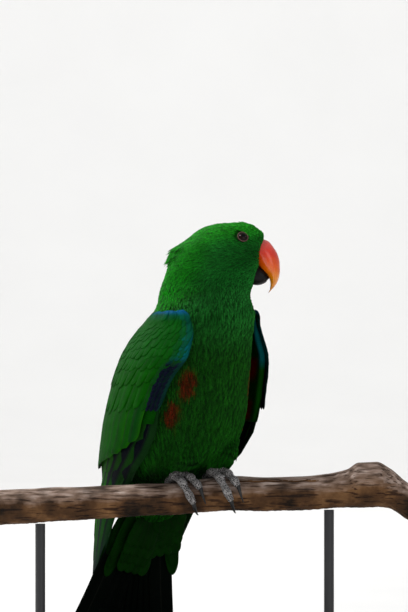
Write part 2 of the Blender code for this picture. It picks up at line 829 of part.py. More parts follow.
def wing_arm(side, name):
    """The feathered arm that every quill of a wing is rooted in."""
    levels = (284.0, 275.0, 262.0, 246.0, 230.0, 214.0, 197.0)
    columns = 9
    grids = ([], [])
    for z in levels:
        front, back = SPAN.at(z)
        front, back = front + 2.0, back - 2.0
        depth = arm_depth(z)
        for grid, lift in zip(grids, (0.0, -depth)):
            grid.append([wing_point(side, front + (back - front) * c / columns, z,
                                    lift * (0.55 if c in (0, columns) else 1.0))
                         for c in range(columns + 1)])
    return slab(name, grids[0], grids[1], GREEN_WING)


for side, word in ((1, "right"), (-1, "left")):
    fuse(wing_arm(side, "wing_" + word), wing_quills(side))

# Tail: twelve broad feathers in a fan, with coverts above and below their roots

TAIL_TOP = RUMP_BASE - GAP / 2
TAIL_LONG = 97.0
TAIL_PAIRS = 6
TAIL_STUB = 26.0


def tail_place(down, across, out):
    """A point by its distance below the rump, to the bird's right, and toward its back."""
    z = TAIL_TOP - down
    turn = BODY_HEADING + (TAIL_HEADING - BODY_HEADING) * min(down / 40.0, 1.0)
    ahead = TRUNK.at(z)[0]
    return bird(ahead, 0.0, z) + rightward(turn) * across - forward(turn) * out


ROOT_SHIFT = 4.0               # of the fan's middle at its root, toward the bird's right
TIP_SHIFT = 8.0                # and at its tips
# undertail lobe, length, place across of its root and tip, step to its second vane
LOBES = (("right", 47.0, 4.0, 7.0, 9.5), ("left", 33.0, -5.0, -9.0, -10.5))


def tail_vane(root, tip, root_across, tip_across, width, out_root, out_tip, shape=LONG_VANE,
              bow=0.0):
    """A vane of the tail; out is its distance toward the back, bow bends it at the middle."""
    sections = []
    lean = (tip_across - root_across) / max(tip - root, 1.0)
    for t, wide, full in shape:
        wide = max(wide, 0.6) if t == 1.0 else wide
        down = root + (tip - root) * t
        across = root_across + (tip_across - root_across) * (0.75 * t + 0.25 * t * t)
        out = out_root + (out_tip - out_root) * t + bow * math.sin(math.pi * t)
        half = width / 2 * wide
        thick = VANE_THICK * full / 2
        sections.append([
            tail_place(down + lean * half, across - half, out),
            tail_place(down, across, out + thick),
            tail_place(down - lean * half, across + half, out),
            tail_place(down, across, out - thick)])
    return vane("vane", sections)


def tail_stub():
    rings = []
    for down, wide, deep in ((0.0, 19.0, 12.0), (8.0, 16.5, 9.0), (17.0, 13.5, 6.5),
                             (TAIL_STUB, 9.0, 3.5)):
        rings.append([tail_place(down, wide * math.sin(a), -deep * math.cos(a))
                      for a in (math.tau * k / 20 for k in range(20))])
    return loft("tail", rings, BLACK_TAIL)


def tail_pieces():
    pieces = []
    level = 0.0
    for pair in range(TAIL_PAIRS):
        for half in (1, -1):
            place = pair + 0.5
            drop = 0.0 if pair < 4 else (pair - 3) * 1.2
            pieces.append(tail_vane(9.0 + 0.6 * pair, TAIL_LONG - drop,
                                    half * place * 2.8 + ROOT_SHIFT,
                                    half * place * 6.4 + TIP_SHIFT, 20.0,
                                    1.9 - 0.32 * level, 3.6 - level))
            level += VANE_RISE if pair < 2 else VANE_RISE / 2
    for k in range(2):
        for half in (1, -1):
            pieces.append(tail_vane(3.0, 38.0 - 7.0 * k, half * (2.4 + 5.4 * k),
                                    half * (4.4 + 8.0 * k), 15.0, 7.2 - 1.6 * k + 0.4 * half,
                                    8.8 - 1.4 * k + 0.6 * half, SHORT_VANE, 0.6))
    for half in (1, -1):
        pieces.append(tail_vane(4.0, 40.0, half * 14.0, half * 25.0, 17.0, -2.4, -3.6,
                                SHORT_VANE, -0.6))
    # two large lobes of undertail coverts, each of two broad vanes
    for _, length, root, tip, wider in LOBES:
        for k in range(2):
            pieces.append(tail_vane(3.0, length - 6.0 * k, root + 0.5 * wider * k,
                                    tip + wider * k, 19.0, -6.6 - 1.1 * k,
                                    -10.2 - 1.3 * k, SHORT_VANE, -0.8))
    return pieces


fuse(tail_stub(), tail_pieces())

# The middle of the base of the whole part's box becomes the origin


def settle():
    bodies = [o for o in bpy.data.objects if o.type == "MESH"]
    corners = [v.co for o in bodies for v in o.data.vertices]
    low = Vector([min(c[i] for c in corners) for i in range(3)])
    high = Vector([max(c[i] for c in corners) for i in range(3)])
    shift = -Vector(((low.x + high.x) / 2, (low.y + high.y) / 2, low.z))
    for body in bodies:
        for vertex in body.data.vertices:
            vertex.co += shift
        body.data.update()


settle()
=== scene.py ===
"""Visual model of a male eclectus parrot gripping a branch on a plain display stand.

The forms are worked out in millimetres from named sizes and become meshes in metres. Every
repeated thing is placed by Geometry Nodes or by one class of vane, and every finish is a
procedural material on the mesh's own attributes, UV map or object coordinates.
"""

import json
import logging
import math
from dataclasses import dataclass, field, fields
from enum import Enum
from typing import Sequence

import bmesh
import bpy
import numpy as np
from bpy.types import ID, Material, Mesh, Node, NodeSocket, NodeTree, Object
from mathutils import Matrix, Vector

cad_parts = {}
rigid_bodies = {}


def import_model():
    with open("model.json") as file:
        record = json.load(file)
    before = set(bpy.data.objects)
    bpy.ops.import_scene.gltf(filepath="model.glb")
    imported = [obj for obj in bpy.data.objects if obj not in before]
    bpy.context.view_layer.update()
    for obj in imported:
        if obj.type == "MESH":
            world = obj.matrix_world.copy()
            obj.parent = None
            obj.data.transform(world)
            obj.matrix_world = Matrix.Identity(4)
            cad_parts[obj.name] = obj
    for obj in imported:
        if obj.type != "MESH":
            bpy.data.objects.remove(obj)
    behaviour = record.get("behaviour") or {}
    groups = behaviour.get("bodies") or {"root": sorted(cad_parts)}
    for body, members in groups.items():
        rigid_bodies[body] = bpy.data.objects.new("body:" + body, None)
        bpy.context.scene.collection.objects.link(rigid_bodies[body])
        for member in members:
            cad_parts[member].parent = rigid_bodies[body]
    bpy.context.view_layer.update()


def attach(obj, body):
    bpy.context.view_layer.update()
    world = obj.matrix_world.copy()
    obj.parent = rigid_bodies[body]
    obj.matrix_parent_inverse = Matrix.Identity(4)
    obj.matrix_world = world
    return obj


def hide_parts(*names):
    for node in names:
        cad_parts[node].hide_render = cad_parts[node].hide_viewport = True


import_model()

logging.basicConfig(level=logging.INFO, format="%(levelname)s %(message)s")
LOG = logging.getLogger("parrot")

Array = np.ndarray
MM = 0.001
FRAME_SHIFT = np.array((0.0, -22.0, 0.0))   # from the perch's axis to the middle of the base
BODY_HEADING = 42.0     # degrees from -Y toward +X, as every heading
TAIL_HEADING = 27.0
BODY_SHIFT_X = -1.0
RUMP_BASE = 118.0
SETBACK = 17.0          # how far the body below SETBACK_FULL is moved back, clear of the branch
SETBACK_TOP = 178.0
SETBACK_FULL = 150.0
ARM_LEAST = 2.9         # least room between the body's surface and the wing's arm

# Height, middle ahead and to the right, heading, half width, reach ahead and behind
TRUNK_STATIONS = (
    (356.5, 18.5, -15.8, 86.0, 6.0, 9.5, 7.5),
    (352.0, 15.9, -13.2, 86.0, 15.0, 22.5, 19.5),
    (345.0, 14.2, -11.4, 86.0, 22.5, 31.0, 27.5),
    (335.0, 12.2, -9.1, 86.0, 27.0, 33.0, 36.0),
    (322.0, 9.6, -6.2, 86.0, 29.0, 34.5, 38.5),
    (310.0, 6.2, -2.5, 82.0, 30.5, 36.0, 38.0),
    (303.0, 4.6, -0.6, 75.0, 32.5, 36.0, 38.0),
    (297.0, 3.0, 0.0, 62.0, 35.0, 37.0, 38.0),
    (290.0, 2.5, 0.0, 48.0, 38.0, 39.0, 39.5),
    (284.0, 2.0, 0.0, 42.0, 40.0, 41.0, 42.0),
    (262.0, -4.0, 0.0, 42.0, 42.0, 43.0, 52.0),
    (235.0, -10.0, 0.0, 42.0, 44.5, 45.0, 59.0),
    (205.0, -17.0, 0.0, 42.0, 46.0, 47.0, 62.0),
    (178.0, -25.0, 0.0, 42.0, 44.0, 43.0, 60.0),
    (155.0, -38.0, 0.0, 42.0, 38.0, 34.0, 48.0),
    (140.0, -50.0, 0.0, 42.0, 31.0, 24.0, 36.0),
    (118.0, -64.0, 0.0, 42.0, 21.0, 13.0, 18.0),
    (100.0, -69.0, 0.0, 42.0, 17.0, 10.0, 12.0),
    (60.0, -79.0, 0.0, 42.0, 14.0, 8.0, 8.0),
    (18.0, -90.0, 0.0, 42.0, 12.0, 6.0, 6.0),
)
# Height, reach of the wing's arm to the side and behind
WING_STATIONS = (
    (290.0, 34.0, 36.0), (284.0, 38.5, 43.0), (265.0, 48.5, 56.0), (246.0, 56.0, 64.0),
    (227.0, 59.0, 68.5), (200.0, 61.0, 70.0), (179.0, 58.0, 69.5), (162.0, 53.0, 66.0),
    (146.0, 47.0, 56.0), (117.0, 42.0, 46.0), (93.0, 38.5, 43.0), (55.0, 34.0, 38.0),
)
# Height, angles from straight ahead of the wing's front and back edge
WING_SPAN = (
    (284.0, 72.0, 116.0), (280.0, 63.0, 134.0), (274.0, 56.0, 150.0), (265.0, 51.0, 162.0),
    (252.0, 51.0, 169.0), (238.0, 58.0, 171.0), (222.0, 63.0, 172.5), (206.0, 65.0, 173.0),
    (181.0, 68.0, 173.0), (165.0, 78.0, 170.0), (147.0, 84.0, 165.0), (117.0, 92.0, 154.0),
    (93.0, 102.0, 145.0), (62.0, 115.0, 132.0),
)
# Place along the perch, height of its axis, radius
PERCH_STATIONS = (
    (-168.0, 128.2, 14.6), (-115.0, 130.8, 14.1), (-88.0, 132.3, 13.7), (-30.0, 135.2, 13.2),
    (-6.0, 137.2, 13.7), (22.0, 139.4, 14.3), (66.0, 139.2, 14.0), (97.0, 141.0, 14.3),
    (114.0, 143.7, 15.8), (124.0, 146.6, 18.6), (138.0, 146.6, 18.6), (149.0, 143.2, 16.6),
    (162.0, 133.8, 15.4), (168.0, 130.4, 15.0),
)


def smooth(low: float, high: float, value: Array) -> Array:
    """Eases from 0 at low to 1 at high.

    Args:
        low: Where the rise starts.
        high: Where the rise ends.
        value: What is eased.

    Returns:
        The eased values.
    """
    t = np.clip((np.asarray(value, float) - low) / (high - low), 0.0, 1.0)
    return t * t * (3.0 - 2.0 * t)


def even_turns(count: int) -> Array:
    """Angles evenly spaced round a full turn.

    Args:
        count: How many.

    Returns:
        Radians from 0.
    """
    return np.linspace(0.0, math.tau, count, endpoint=False)


def linear(red: float, green: float, blue: float) -> Array:
    """Turns a colour as seen on a screen, 0 to 255, into scene values.

    Args:
        red: Red share.
        green: Green share.
        blue: Blue share.

    Returns:
        The three linear values.
    """
    share = np.array((red, green, blue), float) / 255.0
    return np.where(share <= 0.04045, share / 12.92, ((share + 0.055) / 1.055) ** 2.4)


class Profile:
    """Smooth values between stations that are keyed by their first number."""

    def __init__(self, rows: Sequence[Sequence[float]]) -> None:
        """Sorts the stations and works out the slope at each.

        Args:
            rows: One tuple a station, its key first.
        """
        table = np.array(sorted(rows), float)
        self.keys = table[:, 0]
        self.values = table[:, 1:]
        step = np.diff(self.keys)[:, None]
        rise = np.diff(self.values, axis=0) / step
        slopes = np.zeros_like(self.values)
        slopes[0], slopes[-1] = rise[0], rise[-1]
        first, second = rise[:-1], rise[1:]
        same = first * second > 0
        total = np.where(same, first + second, 1.0)
        slopes[1:-1] = np.where(same, 2 * first * second / total, 0.0)
        self.rise, self.slopes = rise, slopes

    def at(self, key: Array) -> Array:
        """Reads the profile.

        Args:
            key: One key or an array of them.

        Returns:
            An array with one more axis, for the columns.
        """
        key = np.clip(np.asarray(key, float), self.keys[0], self.keys[-1])
        low = np.clip(np.searchsorted(self.keys, key, side="left") - 1, 0, len(self.keys) - 2)
        step = (self.keys[low + 1] - self.keys[low])[..., None]
        t = (key - self.keys[low])[..., None] / step
        left = np.where(low[..., None] == 0, self.rise[0], self.slopes[low])
        end = len(self.keys) - 2
        right = np.where(low[..., None] == end, self.rise[-1], self.slopes[low + 1])
        return ((2 * t ** 3 - 3 * t ** 2 + 1) * self.values[low]
                + (t ** 3 - 2 * t ** 2 + t) * step * left
                + (3 * t ** 2 - 2 * t ** 3) * self.values[low + 1]
                + (t ** 3 - t ** 2) * step * right)


TRUNK = Profile(TRUNK_STATIONS)
WING = Profile(WING_STATIONS)
SPAN = Profile(WING_SPAN)
PERCH = Profile(PERCH_STATIONS)


def forward(heading: Array) -> Array:
    """The level direction of a heading.

    Args:
        heading: Degrees from -Y toward +X.

    Returns:
        Unit vectors.
    """
    a = np.radians(np.asarray(heading, float))
    return np.stack([np.sin(a), -np.cos(a), np.zeros_like(a)], axis=-1)


def rightward(heading: Array) -> Array:
    """The level direction to the right of a heading.

    Args:
        heading: Degrees from -Y toward +X.

    Returns:
        Unit vectors.
    """
    a = np.radians(np.asarray(heading, float))
    return np.stack([-np.cos(a), -np.sin(a), np.zeros_like(a)], axis=-1)


def bird(ahead: Array, side: Array, z: Array) -> Array:
    """Points from distances ahead of, and to the bird's own right of, its middle.

    Args:
        ahead: Distance forward.
        side: Distance to the bird's right.
        z: Height.

    Returns:
        Points in millimetres.
    """
    ahead, side, z = np.broadcast_arrays(*(np.asarray(v, float) for v in (ahead, side, z)))
    back = SETBACK * smooth(0.0, 1.0, (SETBACK_TOP - z) / (SETBACK_TOP - SETBACK_FULL))
    point = ahead[..., None] * forward(BODY_HEADING) + side[..., None] * rightward(BODY_HEADING)
    point = point + np.stack([np.full_like(z, BODY_SHIFT_X), back, z], axis=-1)
    return point + FRAME_SHIFT


def trunk_point(z: Array, angle: Array, grow: Array = 0.0) -> Array:
    """Points on the surface that head, neck and torso share.

    Args:
        z: Height.
        angle: Radians from straight ahead toward the bird's right.
        grow: Distance outward from that surface.

    Returns:
        Points in millimetres.
    """
    z, angle = np.broadcast_arrays(np.asarray(z, float), np.asarray(angle, float))
    row = TRUNK.at(z)
    reach = np.where(np.cos(angle) > 0, row[..., 4], row[..., 5])
    centre = bird(row[..., 0], row[..., 1], z)
    return (centre + forward(row[..., 2]) * ((reach + grow) * np.cos(angle))[..., None]
            + rightward(row[..., 2]) * ((row[..., 3] + grow) * np.sin(angle))[..., None])


def wing_point(side: int, degrees: Array, z: Array, lift: Array) -> Array:
    """Points over the wing's arm.

    Args:
        side: 1 for the bird's right and -1 for its left.
        degrees: Angle from straight ahead.
        z: Height.
        lift: Distance outward from the arm.

    Returns:
        Points in millimetres.
    """
    trunk, row = TRUNK.at(z), WING.at(z)
    wide = np.maximum(row[..., 0], trunk[..., 3] + ARM_LEAST)
    back = np.maximum(row[..., 1], trunk[..., 5] + ARM_LEAST)
    angle = np.radians(degrees)
    reach = np.where(np.cos(angle) > 0, wide, back)
    return bird(trunk[..., 0] + (reach + lift) * np.cos(angle),
                side * (wide + lift) * np.sin(angle), z)


def tail_place(down: Array, across: Array, out: Array) -> Array:
    """Points by distance below the rump, to the bird's right, and toward its back.

    Args:
        down: Distance below the rump.
        across: Distance to the right.
        out: Distance toward the back.

    Returns:
        Points in millimetres.
    """
    z = RUMP_BASE - np.asarray(down, float)
    turn = BODY_HEADING + (TAIL_HEADING - BODY_HEADING) * np.clip(down / 40.0, 0.0, 1.0)
    ahead = TRUNK.at(z)[..., 0]
    return (bird(ahead, 0.0, z) + rightward(turn) * np.asarray(across)[..., None]
            - forward(turn) * np.asarray(out)[..., None])


# Meshes


def linked(name: str, data: ID) -> Object:
    """Makes an object of some data and links it to the scene.

    Args:
        name: Its name.
        data: Its mesh, lamp or camera.

    Returns:
        The object.
    """
    made = bpy.data.objects.new(name, data)
    bpy.context.scene.collection.objects.link(made)
    return made


def painted(mesh: Mesh, colours: Array | None, uvs: dict[str, Array]) -> None:
    """Gives a mesh its colours and maps.

    Args:
        mesh: The mesh.
        colours: One colour a point, kept as the attribute tint.
        uvs: Maps by name, one row a point.
    """
    if colours is not None:
        layer = mesh.color_attributes.new("tint", "FLOAT_COLOR", "POINT")
        full = np.ones((len(colours), 4))
        full[:, :3] = colours
        layer.data.foreach_set("color", full.ravel())
    loops = np.zeros(len(mesh.loops), int)
    mesh.loops.foreach_get("vertex_index", loops)
    for word, rows in uvs.items():
        layer = mesh.uv_layers.new(name=word)
        layer.data.foreach_set("uv", np.asarray(rows, float)[loops].ravel())


def new_object(name: str, points: Array, faces: Sequence[Sequence[int]],
               finish: Material | None, colours: Array | None = None,
               uvs: dict[str, Array] | None = None) -> Object:
    """Makes a linked mesh object from points in millimetres.

    Args:
        name: Its name.
        points: One row a point.
        faces: Triples or fours of point numbers.
        finish: Its material.
        colours: One colour a point, kept as the attribute tint.
        uvs: Maps by name, one row a point.

    Returns:
        The object.
    """
    mesh = bpy.data.meshes.new(name)
    mesh.from_pydata((np.asarray(points, float) * MM).tolist(), [], [tuple(f) for f in faces])
    painted(mesh, colours, uvs or {})
    mesh.polygons.foreach_set("use_smooth", [True] * len(mesh.polygons))
    if finish is not None:
        mesh.materials.append(finish)
    return linked(name, mesh)


def grid_faces(rows: int, columns: int, start: int = 0, closed: bool = False
               ) -> list[tuple[int, ...]]:
    """Faces of a grid of points.

    Args:
        rows: Number of rows.
        columns: Points in a row.
        start: Number of the first point.
        closed: Whether each row's end joins its start.

    Returns:
        Fours of point numbers.
    """
    faces = []
    for r in range(rows - 1):
        for c in range(columns if closed else columns - 1):
            d = (c + 1) % columns
            faces.append((start + r * columns + c, start + r * columns + d,
                          start + (r + 1) * columns + d, start + (r + 1) * columns + c))
    return faces


def outward(made: Object) -> Object:
    """Turns the faces of a closed mesh outward.

    Args:
        made: The object.

    Returns:
        The same object.
    """
    work = bmesh.new()
    work.from_mesh(made.data)
    bmesh.ops.recalc_face_normals(work, faces=work.faces)
    work.to_mesh(made.data)
    work.free()
    return made


def loft(name: str, rings: Sequence[Array], finish: Material | None,
         tips: tuple[Array | None, Array | None] = (None, None),
         colours: Array | None = None) -> Object:
    """A closed body through rings of as many points each.

    Args:
        name: Its name.
        rings: Points of each ring.
        finish: Its material.
        tips: End points, or None for the middle of the end ring.
        colours: One colour a ring.

    Returns:
        The object.
    """
    count = len(rings[0])
    points = np.concatenate(rings)
    faces = grid_faces(len(rings), count, closed=True)
    ends = [np.mean(rings[0], axis=0) if tips[0] is None else tips[0],
            np.mean(rings[-1], axis=0) if tips[1] is None else tips[1]]
    first, last = len(points), len(points) + 1
    points = np.concatenate([points, ends])
    base = (len(rings) - 1) * count
    for k in range(count):
        faces.append((first, (k + 1) % count, k))
        faces.append((last, base + k, base + (k + 1) % count))
    tints = None
    if colours is not None:
        tints = np.concatenate([np.repeat(colours, count, axis=0), colours[:1], colours[-1:]])
    steps = np.concatenate([np.repeat(np.linspace(0, 1, len(rings)), count), [0.0, 1.0]])
    turns = np.concatenate([np.tile(np.linspace(0, 1, count), len(rings)), [0.5, 0.5]])
    made = new_object(name, points, faces, finish, tints,
                      {"Surface": np.stack([turns, steps], axis=1)})
    return outward(made)


def tube(name: str, path: Array, radii: Array, sides: int,
         finish: Material | None, squash: float = 1.0) -> Object:
    """A closed tube along a path, rounded at its far end.

    Args:
        name: Its name.
        path: Points in millimetres.
        radii: Radius at each point.
        sides: Points round it.
        finish: Its material.
        squash: Height of the section over its width.

    Returns:
        The object.
    """
    path = np.asarray(path, float)
    ahead = np.gradient(path, axis=0)
    ahead /= np.linalg.norm(ahead, axis=1)[:, None]
    across = np.cross(ahead[0], (0.3, 0.2, 0.93))
    rings = []
    angles = even_turns(sides)
    for point, way, radius in zip(path, ahead, radii):
        across = across - way * across.dot(way)
        across = across / np.linalg.norm(across)
        up = np.cross(way, across)
        rings.append(point + radius * (np.cos(angles)[:, None] * across
                                       + squash * np.sin(angles)[:, None] * up))
    return loft(name, rings, finish, (None, path[-1] + ahead[-1] * radii[-1] * 0.8))


def baked(made: Object, name: str, finish: Material) -> Object:
    """Turns an object with live modifiers into a plain mesh object and removes the first.

    Args:
        made: The object.
        name: The name of the plain one.
        finish: Its material.

    Returns:
        The plain object.
    """
    graph = bpy.context.evaluated_depsgraph_get()
    mesh = bpy.data.meshes.new_from_object(made.evaluated_get(graph), depsgraph=graph)
    mesh.name = name
    mesh.materials.clear()
    mesh.materials.append(finish)
    plain = linked(name, mesh)
    bpy.data.objects.remove(made)
    return plain


def joined(pieces: list[Object]) -> Object:
    """Joins pieces into the first of them.

    Args:
        pieces: The pieces.

    Returns:
        The first piece, which holds them all.
    """
    with bpy.context.temp_override(active_object=pieces[0], selected_editable_objects=pieces):
        bpy.ops.object.join()
    return pieces[0]


def welded(pieces: list[Object], name: str, finish: Material, cell: float, passes: int) -> Object:
    """Joins pieces that run into one another under one even skin.

    Args:
        pieces: The pieces.
        name: Name of the result.
        finish: Its material.
        cell: Size of the skin's faces in metres.
        passes: How often it is smoothed.

    Returns:
        The one closed piece.
    """
    made = joined(pieces)
    weld = made.modifiers.new("Weld", "REMESH")
    weld.mode = "VOXEL"
    weld.voxel_size = cell
    weld.use_smooth_shade = True
    ease = made.modifiers.new("Ease", "SMOOTH")
    ease.iterations = passes
    return baked(made, name, finish)


def stand_in(made: Object, slot: str, *nodes: str) -> Object:
    """Lets a piece take the place of nodes of the CAD model.

    Args:
        made: The piece.
        slot: Not used.
        *nodes: Names of the nodes, the first of which names the piece.

    Returns:
        The piece.
    """
    made.name = made.data.name = nodes[0] + "_form"
    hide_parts(*nodes)
    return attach(made, "root")


# Finishes


class Nodes:
    """A node tree that is built in code."""

    tree: NodeTree

    def node(self, kind: str, **values: object) -> Node:
        """Adds a node and sets its properties.

        Args:
            kind: The node's type.
            **values: Properties by name.

        Returns:
            The node.
        """
        made = self.tree.nodes.new(kind)
        for key, value in values.items():
            setattr(made, key, value)
        return made

    def feed(self, target: Node, **sources: object) -> Node:
        """Links sockets or sets values on a node's inputs.

        Args:
            target: The node fed.
            **sources: Sockets or values, by input name with _ for a space, or i0, i1 by number.

        Returns:
            The node fed.
        """
        for key, source in sources.items():
            number = key[1:]
            if key[0] == "i" and number.isdigit():
                socket = target.inputs[int(number)]
            else:
                socket = target.inputs[key.replace("_", " ")]
            if isinstance(source, NodeSocket):
                self.tree.links.new(source, socket)
            else:
                socket.default_value = source
        return target


class Tree(Nodes):
    """Builds one material's nodes with few words."""

    def __init__(self, name: str) -> None:
        """Starts a material with its shader.

        Args:
            name: The material's name.
        """
        self.material = bpy.data.materials.new(name)
        self.material.use_nodes = True
        self.tree = self.material.node_tree
        self.shader = self.tree.nodes["Principled BSDF"]

    def attribute(self, name: str, form: str = "Fac") -> NodeSocket:
        """Reads the mesh's attribute of that name, as a number or as a Color."""
        return self.node("ShaderNodeAttribute", attribute_name=name).outputs[form]

    def math(self, word: str, first: object, second: object = 0.0) -> NodeSocket:
        """The socket of a number worked out from one or two sockets or values."""
        made = self.node("ShaderNodeMath", operation=word)
        return self.feed(made, i0=first, i1=second).outputs[0]

    def mix(self, share: object, first: object, second: object, blend: str = "MIX") -> NodeSocket:
        """A mix of two colours.

        Args:
            share: How much of the second.
            first: Socket or colour.
            second: Socket or colour.
            blend: Way of mixing.

        Returns:
            The mixed colour's socket.
        """
        made = self.node("ShaderNodeMix", data_type="RGBA", blend_type=blend)
        for socket, source in ((made.inputs[0], share), (made.inputs[6], first),
                               (made.inputs[7], second)):
            if isinstance(source, NodeSocket):
                self.tree.links.new(source, socket)
            elif isinstance(source, float):
                socket.default_value = source
            else:
                socket.default_value = (*source, 1.0)
        return made.outputs[2]

    def noise(self, scale: float, detail: float = 3.0, source: object = None) -> NodeSocket:
        """Cloudy values on object coordinates or another vector.

        Args:
            scale: Scale of the noise.
            detail: Its detail.
            source: A vector socket, or None for object coordinates.

        Returns:
            The value's socket.
        """
        if source is None:
            source = self.node("ShaderNodeTexCoord").outputs["Object"]
        made = self.node("ShaderNodeTexNoise")
        return self.feed(made, Vector=source, Scale=scale, Detail=detail).outputs[0]

    def ramp(self, value: object, stops: Sequence[tuple[float, Sequence[float]]]) -> NodeSocket:
        """Colours by value.

        Args:
            value: The socket read.
            stops: Place and colour of each stop.

        Returns:
            The colour's socket.
        """
        made = self.node("ShaderNodeValToRGB")
        band = made.color_ramp
        while len(band.elements) < len(stops):
            band.elements.new(0.5)
        for element, (place, colour) in zip(band.elements, stops):
            element.position = place
            element.color = (*colour, 1.0)
        return self.feed(made, Fac=value).outputs[0]

    def cloud(self, scale: float, detail: float, low: float, high: float) -> NodeSocket:
        """Soft patches of light and dark to multiply a colour by.

        Args:
            scale: Scale of the noise.
            detail: Its detail.
            low: Grey of the dark patches.
            high: Grey of the light ones.

        Returns:
            The grey's socket.
        """
        return self.ramp(self.noise(scale, detail), ((0.3, (low,) * 3), (0.7, (high,) * 3)))

    def times(self, first: object, second: object) -> NodeSocket:
        """The product of two colours."""
        return self.mix(1.0, first, second, "MULTIPLY")

    def bump(self, height: object, strength: float, distance: float) -> None:
        """Adds fine relief to the shader.

        Args:
            height: The socket with the relief.
            strength: How strong it is.
            distance: Its depth in metres.
        """
        made = self.node("ShaderNodeBump")
        self.feed(made, Height=height, Strength=strength, Distance=distance)
        self.feed(self.shader, Normal=made.outputs[0])


@dataclass(frozen=True)
class CoatFinish:
    """Soft body feathers that take their colour from the attribute tint."""

    name: str = "plumage_soft"
    roughness: float = 0.62
    sheen: float = 0.05
    stranded: bool = True

    def make(self) -> Material:
        """Builds the material.

        Returns:
            The material.
        """
        t = Tree(self.name)
        tint = t.attribute("tint", "Color")
        along = t.attribute("along")
        strand = t.attribute("strand")
        # Painted shade and light: each tuft darkens toward its root, under its neighbours, and
        # lightens past its tint at its tip.
        shade = t.ramp(along, ((0.0, (0.42,) * 3), (0.55, (0.9,) * 3), (1.0, (1.25,) * 3)))
        colour = t.times(tint, shade)
        patch = t.ramp(t.noise(90.0, 3.0), ((0.3, (0.82, 0.86, 0.8)), (0.7, (1.15, 1.12, 1.1))))
        colour = t.times(colour, patch)
        if self.stranded:
            tone = t.node("ShaderNodeVectorMath", operation="SCALE")
            t.feed(tone, i0=colour, Scale=strand)
            colour = tone.outputs[0]
        t.feed(t.shader, Base_Color=colour, Roughness=self.roughness, Sheen_Weight=self.sheen,
               Sheen_Roughness=0.5, Specular_IOR_Level=0.22, Specular_Tint=(0.3, 1.0, 0.35, 1.0),
               Sheen_Tint=(0.15, 1.0, 0.1, 1.0))
        return t.material


@dataclass(frozen=True)
class VaneFinish:
    """Firm feathers with a shaft and barbs, on the UV map Vane."""

    name: str = "plumage_vane"
    roughness: float = 0.68

    def make(self) -> Material:
        """Builds the material.

        Returns:
            The material.
        """
        t = Tree(self.name)
        tint = t.attribute("tint", "Color")
        place = t.node("ShaderNodeUVMap", uv_map="Vane").outputs[0]
        split = t.feed(t.node("ShaderNodeSeparateXYZ"), Vector=place)
        side = t.math("ABSOLUTE", t.math("SUBTRACT", split.outputs[0], 0.5))
        slant = t.math("SUBTRACT", t.math("MULTIPLY", split.outputs[1], 330.0),
                       t.math("MULTIPLY", side, 120.0))
        barb = t.math("SINE", slant)
        shaft = t.math("LESS_THAN", side, 0.022)
        colour = t.mix(t.math("MULTIPLY", shaft, 0.55), tint, (0.012, 0.012, 0.010))
        lines = t.ramp(t.math("ADD", t.math("MULTIPLY", barb, 0.5), 0.5),
                       ((0.0, (0.84,) * 3), (1.0, (1.08,) * 3)))
        colour = t.times(colour, lines)
        cloud = t.ramp(t.noise(120.0, 3.0), ((0.3, (0.8, 0.82, 0.8)), (0.7, (1.15, 1.12, 1.1))))
        colour = t.times(colour, cloud)
        t.feed(t.shader, Base_Color=colour, Roughness=self.roughness, Specular_IOR_Level=0.03,
               Specular_Tint=(0.3, 1.0, 0.4, 1.0))
        t.bump(t.math("ADD", barb, t.math("MULTIPLY", shaft, 3.0)), 0.2, 0.00012)
        return t.material


@dataclass(frozen=True)
class PlainFinish:
    """One even colour with slight clouding and grain."""

    name: str
    colour: Sequence[float]
    roughness: float
    grain: float = 300.0
    depth: float = 0.00005
    cloud: float = 0.13

    def make(self) -> Material:
        """Builds the material.

        Returns:
            The material.
        """
        t = Tree(self.name)
        cloud = t.cloud(self.grain, 3.0, 1.0 - self.cloud, 1.0 + self.cloud)
        colour = t.times(self.colour, cloud)
        t.feed(t.shader, Base_Color=colour, Roughness=self.roughness)
        if self.depth > 0.0:
            t.bump(t.noise(self.grain * 2.0, 2.0), 0.3, self.depth)
        return t.material


@dataclass(frozen=True)
class HornFinish:
    """Glossy bill horn whose colour runs from its root to its tip."""

    name: str
    stops: Sequence[tuple[float, Sequence[float]]]
    low: float
    high: float
    roughness: float = 0.2
    coat: float = 0.4
    gloss: float = 0.5

    def make(self) -> Material:
        """Builds the material.

        Returns:
            The material.
        """
        t = Tree(self.name)
        place = t.node("ShaderNodeTexCoord").outputs["Object"]
        split = t.feed(t.node("ShaderNodeSeparateXYZ"), Vector=place)
        drift = t.math("MULTIPLY", t.math("SUBTRACT", t.noise(180.0), 0.5), 0.008)
        height = t.math("ADD", split.outputs[2], drift)
        share = t.math("DIVIDE", t.math("SUBTRACT", height, self.low), self.high - self.low)
        colour = t.ramp(share, self.stops)
        streak = t.cloud(900.0, 2.0, 0.9, 1.06)
        colour = t.times(colour, streak)
        t.feed(t.shader, Base_Color=colour, Roughness=self.roughness, Coat_Weight=self.coat,
               Coat_Roughness=0.12, Subsurface_Weight=0.06, Specular_IOR_Level=self.gloss)
        t.bump(t.noise(260.0, 4.0), 0.12, 0.0003)
        return t.material


@dataclass(frozen=True)
class EyeFinish:
    """A wet eye coloured by the attribute tint."""

    name: str = "eye_wet"

    def make(self) -> Material:
        """Builds the material.

        Returns:
            The material.
        """
        t = Tree(self.name)
        tint = t.attribute("tint", "Color")
        fleck = t.cloud(1500.0, 2.0, 0.7, 1.2)
        t.feed(t.shader, Base_Color=t.times(tint, fleck), Roughness=0.25,
               Coat_Weight=0.2, Coat_Roughness=0.02, Specular_IOR_Level=0.05)
        return t.material


